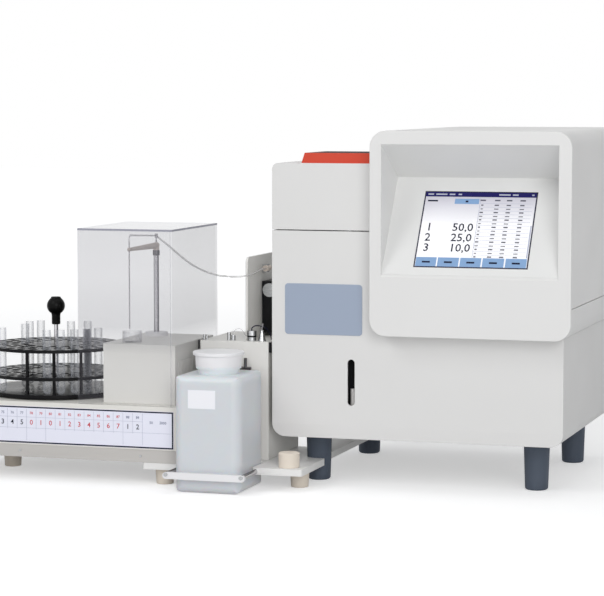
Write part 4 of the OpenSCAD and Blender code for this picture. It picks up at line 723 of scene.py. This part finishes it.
# %% [markdown]
# ## The screen
# The touch screen lies on the slope of the recess. Its glass is the CAD plate, dark blue at
# its rim. The picture on it is plain: a title bar, a light field, three big readings, a
# table of small marks and five buttons. All that can be read on it is digits.

# %% Screen places
SCREEN_MID_X = 308.4
SCREEN_SLOPE = math.radians(56.217)
SCREEN_FOOT = (-40.0, 317.0)
SCREEN_W, SCREEN_H, SCREEN_LIFT = 168.4, 128.9, 18.0
RIM = 2.1


def on_glass(u, v, lift):
    """u runs right from the screen's left rim, v up from its lower rim, in millimetres."""
    up = SCREEN_LIFT + v
    return bench(SCREEN_MID_X - SCREEN_W / 2 + u,
                 SCREEN_FOOT[0] + up * math.cos(SCREEN_SLOPE) - lift * math.sin(SCREEN_SLOPE),
                 SCREEN_FOOT[1] + up * math.sin(SCREEN_SLOPE) + lift * math.cos(SCREEN_SLOPE))


def share(u0, v0, u1, v1):
    """A field of the picture by its share of the screen, u from the left and v from the top."""
    return ((u0 * SCREEN_W, (1 - v1) * SCREEN_H), (u1 * SCREEN_W, (1 - v0) * SCREEN_H))


def screen_slabs(name, slabs, finish, low, high):
    slab_piece(name, on_glass, slabs, finish, "stand", lift=(low, high))


# %% Screen picture
screen_slabs("screen_ground", [((RIM, RIM), (SCREEN_W - RIM, SCREEN_H - RIM))], "display_film", 0.0, 0.1)
screen_slabs("screen_title", [share(0.011, 0.014, 0.989, 0.072)], "title_blue", 0.1, 0.2)
buttons = [share(u0, 0.868, u1, 0.985) for u0, u1 in
           ((0.015, 0.196), (0.207, 0.393), (0.404, 0.588), (0.600, 0.788), (0.800, 0.984))]
screen_slabs("screen_buttons", buttons + [share(0.276, 0.098, 0.492, 0.166)], "button_blue", 0.1, 0.2)
TABLE_LEFT, TABLE_TOP, ROW_STEP, ROWS = 0.500, 0.118, 0.0482, 15
rules = [share(TABLE_LEFT, 0.09, TABLE_LEFT + 0.004, 0.86)]
rules += [share(TABLE_LEFT, TABLE_TOP + 0.036 + i * ROW_STEP, 0.965, TABLE_TOP + 0.0395 + i * ROW_STEP)
          for i in range(ROWS)]
rules += [share(0.972, 0.44, 0.984, 0.86)]
screen_slabs("screen_rules", rules, "rule_grey", 0.1, 0.16)

# %% Screen marks and readings
TABLE_COLUMNS = (0.524, 0.652, 0.757, 0.876)
MARK_HALF, LOW_MARK_CUT = 0.008, 0.6
marks = [share(u - 0.022, 0.106, u + 0.026, 0.124) for u in TABLE_COLUMNS]
for row in range(ROWS):
    for k, u in enumerate(TABLE_COLUMNS):
        half = 0.010 if k == 0 else 0.019
        middle_v = TABLE_TOP + 0.060 + row * ROW_STEP
        wide = half * (1.5 if k == 0 and row % 8 in (2, 3) else 1.0)
        low, high = share(u - wide, middle_v - MARK_HALF, u + wide, middle_v + MARK_HALF)
        marks.append((low, (high[0], high[1] - LOW_MARK_CUT * (row % 2))))
screen_slabs("screen_marks", marks, "mark_grey", 0.16, 0.22)
CAPTION_HALF = 0.035
caps = [share(u - CAPTION_HALF, 0.918, u + CAPTION_HALF, 0.940)
        for u in ((a[0] + b[0]) / 2 / SCREEN_W for a, b in buttons)]
caps += [share(0.372, 0.122, 0.396, 0.144), share(0.035, 0.118, 0.125, 0.138)]
screen_slabs("screen_captions", caps, "print_navy", 0.2, 0.26)
TITLE_BARS = ((0.03, 0.05), (0.10, 0.10), (0.22, 0.05), (0.30, 0.03), (0.66, 0.10), (0.78, 0.05),
              (0.95, 0.02))
screen_slabs("screen_title_marks", [share(u, 0.032, u + w, 0.050) for u, w in TITLE_BARS], "rule_grey",
             0.2, 0.26)
READING_MM = 13.2
readings = []
for row, (number, value) in enumerate((("1", "50,0"), ("2", "25,0"), ("3", "10,0"))):
    v = SCREEN_H * (1 - 0.478 - 0.134 * row)
    readings.append((number, SCREEN_W * 0.085, v, READING_MM))
    readings.append((value, SCREEN_W * 0.382, v, READING_MM))
digit_piece("screen_readings", on_glass, readings, "print_navy", "stand",
            lift=(0.1, 0.2))

# %% [markdown]
# ## The position strip
# A printed film on the sampler's front tells which place of the carousel holds what. Its
# frame and its columns are drawn, and each column carries plain numbers.

# %% Strip
LABEL_LEFT, LABEL_RIGHT = -493.5, -131.0
LABEL_LOW, LABEL_HIGH = 55.6, 111.4
LABEL_FRONT = -70.3
CELL = 15.6
FIRST_CELL_RIGHT = -179.8


def on_strip(u, v, lift):
    return bench(u, LABEL_FRONT - lift, v)


FRAME_W, INSET = 2.0, 0.3
x0, x1 = LABEL_LEFT + INSET, LABEL_RIGHT - INSET
z0, z1 = LABEL_LOW + INSET, LABEL_HIGH - INSET
slab_piece("strip_frame", on_strip, [((x0, z0), (x1, z0 + FRAME_W)), ((x0, z1 - FRAME_W), (x1, z1)),
                                     ((x0, z0 + FRAME_W), (x0 + FRAME_W, z1 - FRAME_W)),
                                     ((x1 - FRAME_W, z0 + FRAME_W), (x1, z1 - FRAME_W))],
           "print_navy", "stand")
CELLS = 20
GROUP_ENDS = (0, 2, 10, 12, 20)
left_end = LABEL_LEFT + 3
lines = []
for i in range(CELLS + 1):
    x = FIRST_CELL_RIGHT - CELL * i
    if x > left_end:
        deep = z0 + 4 if i in GROUP_ENDS else z1 - 34
        lines.append(((x - 0.22, deep), (x + 0.22, z1 - 3.5)))
lines.append(((left_end, 95.1), (FIRST_CELL_RIGHT, 95.5)))
lines.append(((left_end, 78.6), (LABEL_RIGHT - 3.5, 79.0)))
slab_piece("strip_lines", on_strip, lines, "rule_grey", "stand", lift=(0.0, 0.15))

# %% Strip numbers
def group_number(i):
    """The big number of the column that is i places from the right; each group counts up."""
    top = 2 if i < 2 else 9 if i < 10 else 11 if i < 12 else 17
    return top - i


LAST_PLACE = 89
small_dark, small_red, big_dark, big_red = [], [], [], []
for i in range(CELLS):
    x = FIRST_CELL_RIGHT - CELL * (i + 0.5)
    if x < LABEL_LEFT + 8:
        continue
    small, big = (small_red, big_red) if 2 <= i < 12 else (small_dark, big_dark)
    small.append((str(LAST_PLACE - i), x, 101.2, 3.9))
    big.append((str(group_number(i)), x, 87.0, 7.6))
small_dark += [("50", -166.0, 94.5, 4.0), ("2000", -147.5, 94.5, 4.0)]
for name, words, finish in (("strip_small_dark", small_dark, "print_grey"),
                            ("strip_small_red", small_red, "print_red"),
                            ("strip_big_dark", big_dark, "print_navy"),
                            ("strip_big_red", big_red, "print_red")):
    digit_piece(name, on_strip, words, finish, "stand", lift=(0.0, 0.15))

# %% [markdown]
# ## Blank label
# The bottle carries a small paper label, laid on as a slab of its own, and it stays bare. The
# case's badge is bare too. It is a CAD plate, and its edge is rounded further down.

# %% Bottle label
def on_bottle(u, v, lift):
    return bench(u, -118.0 - lift, v)


slab_piece("bottle_label", on_bottle, [((-90.4, 125.0), (-48.4, 152.2))], "paper_label", "bottle",
           lift=(-0.05, 0.25))


# %% [markdown]
# ## The clear cover
# Three acrylic sheets stand round the arm. A sheet is nearly invisible from its face, while
# its sawn edge gathers light and shows as a grey line. The sheets are blocks whose faces
# wear different finishes: clear faces, two grey edges on the top sheet, faint ones elsewhere.

# %% Clear cover
COVER_LOW, COVER_HIGH = (-282.5, -69.5, 118.5), (-132.5, 133.0, 381.9)
SHEET = 3.0
CLEAR, EDGE, RIM_FACE = 0, 1, 2


def add_sheet(bm, low, high, thin, grey_edges):
    """Adds one sheet; thin is the axis across it, grey_edges the outward ways that show grey."""
    before = set(bm.faces)
    lay_slab(bm, bench, low[:2], high[:2], (low[2], high[2]))
    middle = bench(*((a + b) / 2 for a, b in zip(low, high)))
    for face in set(bm.faces) - before:
        out = face.calc_center_median() - middle
        axis = max(range(3), key=lambda k: abs(out[k]) / (high[k] - low[k]))
        way = (axis, 1 if out[axis] > 0 else -1)
        face.material_index = CLEAR if axis == thin else EDGE if way in grey_edges else RIM_FACE


cover_mesh = bmesh.new()
add_sheet(cover_mesh, COVER_LOW, (COVER_HIGH[0] - SHEET, COVER_LOW[1] + SHEET, COVER_HIGH[2] - SHEET), 1, ())
add_sheet(cover_mesh, (COVER_HIGH[0] - SHEET, COVER_LOW[1], COVER_LOW[2]),
          (COVER_HIGH[0], COVER_HIGH[1], COVER_HIGH[2] - SHEET), 0, ())
add_sheet(cover_mesh, (COVER_LOW[0], COVER_LOW[1], COVER_HIGH[2] - SHEET), COVER_HIGH, 2, ((0, 1), (1, -1)))
clear_cover = finish_mesh("clear_cover", cover_mesh)
for finish in ("clear_acrylic", "acrylic_edge", "acrylic_rim"):
    clear_cover.data.materials.append(FINISH[finish])
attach(clear_cover, "guard")
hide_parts("acrylic_cover")
print("clear cover:", len(clear_cover.data.polygons), "faces")

# %% [markdown]
# ## Turned parts
# Tubes, the ball of the carousel handle, the rod's collar and the cap are round about an
# upright axis. A lathe helper spins a profile of radius and height pairs. A profile that
# starts and ends on the axis gives a closed solid, and one that ends where it starts a ring.

# %% Lathe helper
def spin(bm, centre, profile, sides=32):
    """Adds a turned body about the upright axis through centre, all in bench millimetres."""
    rings = []
    for r, z in profile:
        if r < 1e-6:
            rings.append([bm.verts.new(bench(centre[0], centre[1], z))])
        else:
            rings.append([bm.verts.new(bench(centre[0] + r * math.cos(a), centre[1] + r * math.sin(a), z))
                          for a in (2 * math.pi * s / sides for s in range(sides))])
    for low, high in zip(rings, rings[1:]):
        for s in range(sides):
            t = (s + 1) % sides
            if len(low) == 1:
                bm.faces.new((low[0], high[t], high[s]))
            elif len(high) == 1:
                bm.faces.new((low[s], low[t], high[0]))
            else:
                bm.faces.new((low[s], low[t], high[t], high[s]))


def turned_piece(name, turns, finish, body, sides=32):
    bm = bmesh.new()
    for centre, profile in turns:
        spin(bm, centre, profile, sides)
    print(name + ":", len(turns), "turned")
    return dress(finish_mesh(name, bm), finish, body)


# %% Sample tubes
CAROUSEL = (-368.5, 49.0)
TO_COLUMN = math.degrees(math.atan2(COLUMN[1] - CAROUSEL[1], COLUMN[0] - CAROUSEL[0]))
OUTER, INNER = 96.8, 48.1
CAR_FLOOR = 126.5
TUBE_R, TUBE_T, TUBE_L = 6.5, 1.0, 99.0
RING_STARTS = (284.7, 7.2, 9.0, TO_COLUMN)
RING_COUNTS = (29, 25, 20, 16)
RING_STEP = (OUTER - INNER) / 3
FILLED = [(0, 0), (0, 1), (0, 2), (0, 3), (0, 4), (0, 25), (2, 3), (2, 7), (2, 8), (3, 3), (3, 8)]


def tube_axis(ring, index):
    angle = math.radians(RING_STARTS[ring] + index * 360 / RING_COUNTS[ring])
    radius = OUTER - ring * RING_STEP
    return CAROUSEL[0] + radius * math.cos(angle), CAROUSEL[1] + radius * math.sin(angle)


def glass_profile():
    """Round foot, straight wall, a rolled rim, and back down the inside."""
    out = [(TUBE_R * math.sin(a), CAR_FLOOR + TUBE_R * (1 - math.cos(a)))
           for a in (math.radians(10 * i) for i in range(0, 10))]
    top = CAR_FLOOR + TUBE_L
    rim = [(TUBE_R, top - 1.6), (TUBE_R - 0.1, top - 0.5), (TUBE_R - 0.45, top), (TUBE_R - 0.85, top - 0.3),
           (TUBE_R - TUBE_T, top - 1.2)]
    inner = TUBE_R - TUBE_T
    inside = [(inner * math.sin(a), CAR_FLOOR + TUBE_R - inner * math.cos(a))
              for a in (math.radians(10 * i) for i in range(9, -1, -1))]
    return out + rim + inside


glass_tubes = turned_piece("glass_tubes", [(tube_axis(*place), glass_profile()) for place in FILLED],
                           "tube_glass", "carousel", sides=24)
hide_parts("sample_tubes")

# %% Carousel handle
BALL_Z, BALL_R = 254.1, 14.0
ROD_R, ROD_TOP = 3.25, BALL_Z - 28.5


def ball_profile():
    """Collar, ball and the flat boss on top, one moulding."""
    collar = [(0.0, BALL_Z - 29.0), (5.7, BALL_Z - 29.0), (6.7, BALL_Z - 28.0), (6.7, BALL_Z - 15.0)]
    ball = [(BALL_R * math.sin(a), BALL_Z - BALL_R * math.cos(a))
            for a in (math.radians(d) for d in range(32, 140, 9))]
    boss = [(7.7, BALL_Z + 12.2), (7.5, BALL_Z + 13.4), (6.6, BALL_Z + 13.9), (0.0, BALL_Z + 13.9)]
    return collar + ball + boss


ball_grip = turned_piece("ball_grip", [(CAROUSEL, ball_profile())], "ball_plastic", "carousel",
                         sides=40)
rod_profile = [(0, CAR_FLOOR), (ROD_R, CAR_FLOOR), (ROD_R, ROD_TOP), (0, ROD_TOP)]
turned_piece("handle_rod", [(CAROUSEL, rod_profile)], "rod_steel", "carousel", sides=24)
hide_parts("carousel_handle")

# %% Rod collar
turned_piece("rod_collar", [(COLUMN, [(4.2, 332.4), (5.0, 332.4), (5.4, 332.9), (5.4, 340.0), (5.0, 340.5),
                                      (4.2, 340.5), (4.2, 332.4)])],
             "dark_steel", "lift")

# %% [markdown]
# ## Fittings on the liquid module
# The CAD model has the module's steel plugs, its pot and its tee. Added here are the pot's dark
# band, three thin hoses, a dark skin on the tee, the sample hose's collar, a side lead and a
# small black slab on the arm housing's side. They are small, but they are what the eye meets behind
# the bottle's cap.

# %% Module fittings
MOD_TOP = 211.5
MOD_RIGHT = -9.0
POT = (MOD_RIGHT - 32.0, 28.0)
turned_piece("pot_band", [(POT, [(5.6, MOD_TOP + 5.4), (6.9, MOD_TOP + 5.4), (7.0, MOD_TOP + 5.7),
                                 (7.0, MOD_TOP + 8.0), (6.9, MOD_TOP + 8.3), (5.6, MOD_TOP + 8.3),
                                 (5.6, MOD_TOP + 5.4)])],
             "black_plastic", "stand")


def link_tube(name, places, radius, finish):
    bm = bmesh.new()
    tube_rings(bm, smooth_line([bench(*p) for p in places], STRETCH_STEPS), radius * MM, sides=10)
    dress(finish_mesh(name, bm), finish, "stand")


def on_top(*places):
    """Places whose heights are given above the module's top."""
    return [(x, y, MOD_TOP + z) for x, y, z in places]


link_tube("module_loop", on_top((-69.0, 24.0, 7.0), (-69.0, 24.0, 12.0), (-65.0, 24.0, 16.5),
                                (-60.0, 24.5, 18.0), (-55.0, 25.5, 15.0), (-51.5, 26.5, 9.0),
                                (-48.5, 27.5, 6.5)), 0.7, "fine_hose")
link_tube("module_link_a", on_top((-41.0, 28.0, 14.0), (-41.0, 29.0, 19.0), (-36.0, 34.0, 22.0),
                                  (-26.0, 44.0, 19.0), (-20.0, 50.0, 10.0), (-18.0, 52.0, -0.5)),
          0.8, "print_navy")
link_tube("module_link_b", on_top((-25.0, 28.0, 15.0), (-25.0, 30.0, 20.0), (-30.0, 48.0, 24.0),
                                  (-40.0, 66.0, 14.0), (-42.0, 70.0, -0.5)), 0.8, "fine_hose")
TEE_Z = 172.0
link_tube("tee_run", [(x, 4.0, TEE_Z) for x in (-51.5, -46.0, -40.0, -34.5)], 2.5, "dark_steel")
link_tube("tee_branch", [(-43.0, 4.0, z) for z in (TEE_Z, 178.0, 187.6)], 2.4, "dark_steel")
link_tube("hose_collar", [(-44.0, y, 315.0) for y in (102.5, 112.0, 120.5)], 4.8, "arm_plastic")
link_tube("side_lead", [(-6.9, 13.0, 196.0), (-6.7, 13.0, 203.0), (-6.9, 13.0, 211.0)], 2.2,
          "black_plastic")


def on_arm_side(u, v, lift):
    return bench(-136.5 + lift, u, v)


# A thin black slab on the arm housing's side, near its rear edge.
slab_piece("arm_side_black_slab", on_arm_side, [((54.0, 193.5), (62.0, 207.0))], "black_plastic", "stand",
           lift=(-0.1, 0.8))

# %% Bottle cap
CAP_AXIS = (-62.3, -62.5)
cap_profile = [(0, 201.4), (30.9, 201.4), (30.9, 182.6), (33.6, 182.6), (33.9, 184.6), (34.6, 198.4),
               (37.4, 199.0), (38.0, 199.8), (38.0, 203.2), (37.3, 204.0), (0, 204.0)]
cap_shell = turned_piece("cap_shell", [(CAP_AXIS, cap_profile)], "white_plastic", "cap",
                         sides=64)
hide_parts("bottle_cap")
print("module fittings and cap placed")

# %% [markdown]
# ## Rounded sheet edges
# A folded or moulded edge is never knife sharp: it catches a thin line of light. The CAD
# nodes have plain corners, so the large visible ones are stood for by a copy whose flat
# faces are joined again and whose hard edges get a small bevel of about a millimetre.

# %% Rounded copies
WELD = 0.000002
HARD_EDGE = 40.0


def rounded_copy(node, width, finish):
    source = frame["nodes"][node]
    bm = bmesh.new()
    bm.from_mesh(source.data)
    bmesh.ops.remove_doubles(bm, verts=bm.verts, dist=WELD)
    bmesh.ops.dissolve_limit(bm, angle_limit=math.radians(1.0), verts=bm.verts, edges=bm.edges)
    piece = finish_mesh(node + "_rounded", bm, HARD_EDGE)
    wear(piece, finish)
    bevel = piece.modifiers.new("edge", "BEVEL")
    bevel.width = width * MM
    bevel.segments = 2
    bevel.limit_method = "ANGLE"
    bevel.angle_limit = math.radians(HARD_EDGE)
    bevel.use_clamp_overlap = True
    bevel.harden_normals = True
    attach(piece, body_of(source)[0])
    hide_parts(node)
    return piece


ROUNDED = (
    ("case_wrap", 1.0, "case_paint", "shell_white"),
    ("front_panel", 0.9, "case_paint", "shell_white"),
    ("upper_tray", 1.0, "cover_paint", "shell_white"),
    ("upper_cover", 1.2, "cover_paint", "shell_white"),
    ("burner_hood", 1.0, "case_paint", "shell_white"),
    ("arm_housing", 0.8, "sampler_paint", "sampler_white"),
    ("dilutor_housing", 0.9, "sampler_paint", "sampler_white"),
    ("pump_plate", 0.9, "sampler_paint", "sampler_white"),
    ("carrier_plate", 0.9, "plate_paint", "white_plastic"),
    ("bottle_bar", 1.2, "white_plastic", "white_plastic"),
    ("sampler_base", 0.8, "base_paint_with_painted_shade", "sampler_white"),
    ("plate_feet", 0.9, "beige_plastic", "beige_plastic"),
    ("rubber_feet", 1.2, "foot_rubber", "dark_rubber"),
    ("badge_plate", 0.35, "badge_metal", "badge"),
    ("pump_head", 0.9, "black_plastic", "black_plastic"),
)
for node, width, finish, slot in ROUNDED:
    rounded_copy(node, width, finish)
print("rounded copies:", len(ROUNDED))

# %% [markdown]
# ## Floor, world and lamps
# The floor is a pale sheet. Seen by the camera it is lit up to white by a plain glow that
# leaves the object's soft shadow in place, and the glow grows with distance, so that the
# sheet has no visible end. Three large soft lamps light the front, the side and the top, at
# a level where a colour renders about as it is written.

# %% Stage
FLOOR_HALF_M = 14.0
GLOW_FROM_M, GLOW_TO_M = 0.9, 4.0
GLOW_NEAR, GLOW_FAR = 0.42, 0.74


def make_stage():
    floor_mesh = bpy.data.meshes.new("floor")
    size = FLOOR_HALF_M
    floor_mesh.from_pydata([(-size, -size, 0), (size, -size, 0), (size, size, 0), (-size, size, 0)], [],
                           [(0, 1, 2, 3)])
    floor = bpy.data.objects.new("floor", floor_mesh)
    bpy.context.scene.collection.objects.link(floor)
    return floor


def add_maximum(tree, sockets):
    """One value that is 1 when any of the given sockets is."""
    last = sockets[0]
    for socket in sockets[1:]:
        either = sum_node(tree, "MAXIMUM")
        tree.links.new(last, either.inputs[0])
        tree.links.new(socket, either.inputs[1])
        last = either.outputs[0]
    return last


def floor_finish():
    material, tree, shader = start_material("floor_finish")
    shader.inputs["Base Color"].default_value = (0.80, 0.80, 0.80, 1)
    shader.inputs["Roughness"].default_value = 0.9
    shader.inputs["Specular IOR Level"].default_value = 0.1
    place = add_node(tree, "ShaderNodeTexCoord")
    reach = sum_node(tree, "LENGTH", "ShaderNodeVectorMath")
    spread = map_range(tree, GLOW_FROM_M, GLOW_TO_M, GLOW_NEAR, GLOW_FAR)
    glow = add_node(tree, "ShaderNodeEmission", Color=(1, 1, 1, 1))
    both = add_node(tree, "ShaderNodeAddShader")
    rays = add_node(tree, "ShaderNodeLightPath")
    mix = add_node(tree, "ShaderNodeMixShader")
    join(tree, place, "Object", reach, "Vector")
    join(tree, reach, "Value", spread, "Value")
    join(tree, spread, "Result", glow, "Strength")
    join(tree, shader, "BSDF", both, 0)
    join(tree, glow, "Emission", both, 1)
    seen = add_maximum(tree, [rays.outputs["Is Camera Ray"], rays.outputs["Is Glossy Ray"],
                              rays.outputs["Is Transmission Ray"]])
    tree.links.new(seen, mix.inputs["Fac"])
    join(tree, shader, "BSDF", mix, 1)
    join(tree, both, "Shader", mix, 2)
    join(tree, mix, "Shader", tree.nodes["Material Output"], "Surface")
    return material


floor = make_stage()
floor.data.materials.append(floor_finish())
print("floor laid")

# %% World
world = bpy.data.worlds.new("studio")
bpy.context.scene.world = world
world.use_nodes = True
sky = world.node_tree
backdrop = add_node(sky, "ShaderNodeBackground", Color=(1, 1, 1, 1), Strength=1.0)
ambient = sky.nodes["Background"]
ambient.inputs["Color"].default_value = (0.95, 0.97, 1.0, 1)
ambient.inputs["Strength"].default_value = 0.33
sky_rays = add_node(sky, "ShaderNodeLightPath")
blend_sky = add_node(sky, "ShaderNodeMixShader")
sky.links.new(add_maximum(sky, [sky_rays.outputs["Is Camera Ray"], sky_rays.outputs["Is Glossy Ray"],
                                sky_rays.outputs["Is Transmission Ray"]]), blend_sky.inputs["Fac"])
join(sky, ambient, "Background", blend_sky, 1)
join(sky, backdrop, "Background", blend_sky, 2)
join(sky, blend_sky, "Shader", sky.nodes["World Output"], "Surface")
print("world:", world.name)


# %% Lamps
def soft_lamp(name, place, aim, size, watts):
    data = bpy.data.lights.new(name, "AREA")
    data.shape = "DISK"
    data.size = size
    data.energy = watts
    lamp = bpy.data.objects.new(name, data)
    lamp.location = place
    lamp.rotation_euler = (Vector(aim) - Vector(place)).to_track_quat("-Z", "Y").to_euler()
    bpy.context.scene.collection.objects.link(lamp)
    return lamp


AIM = (0.0, 0.0, 0.2)
soft_lamp("key", (-1.8, -3.2, 3.0), AIM, 2.2, 44.0)
soft_lamp("fill", (2.0, -4.1, 1.4), AIM, 2.4, 76.0)
soft_lamp("top", (0.3, -0.2, 3.6), AIM, 2.6, 20.0)
bpy.context.scene.view_settings.view_transform = "Standard"
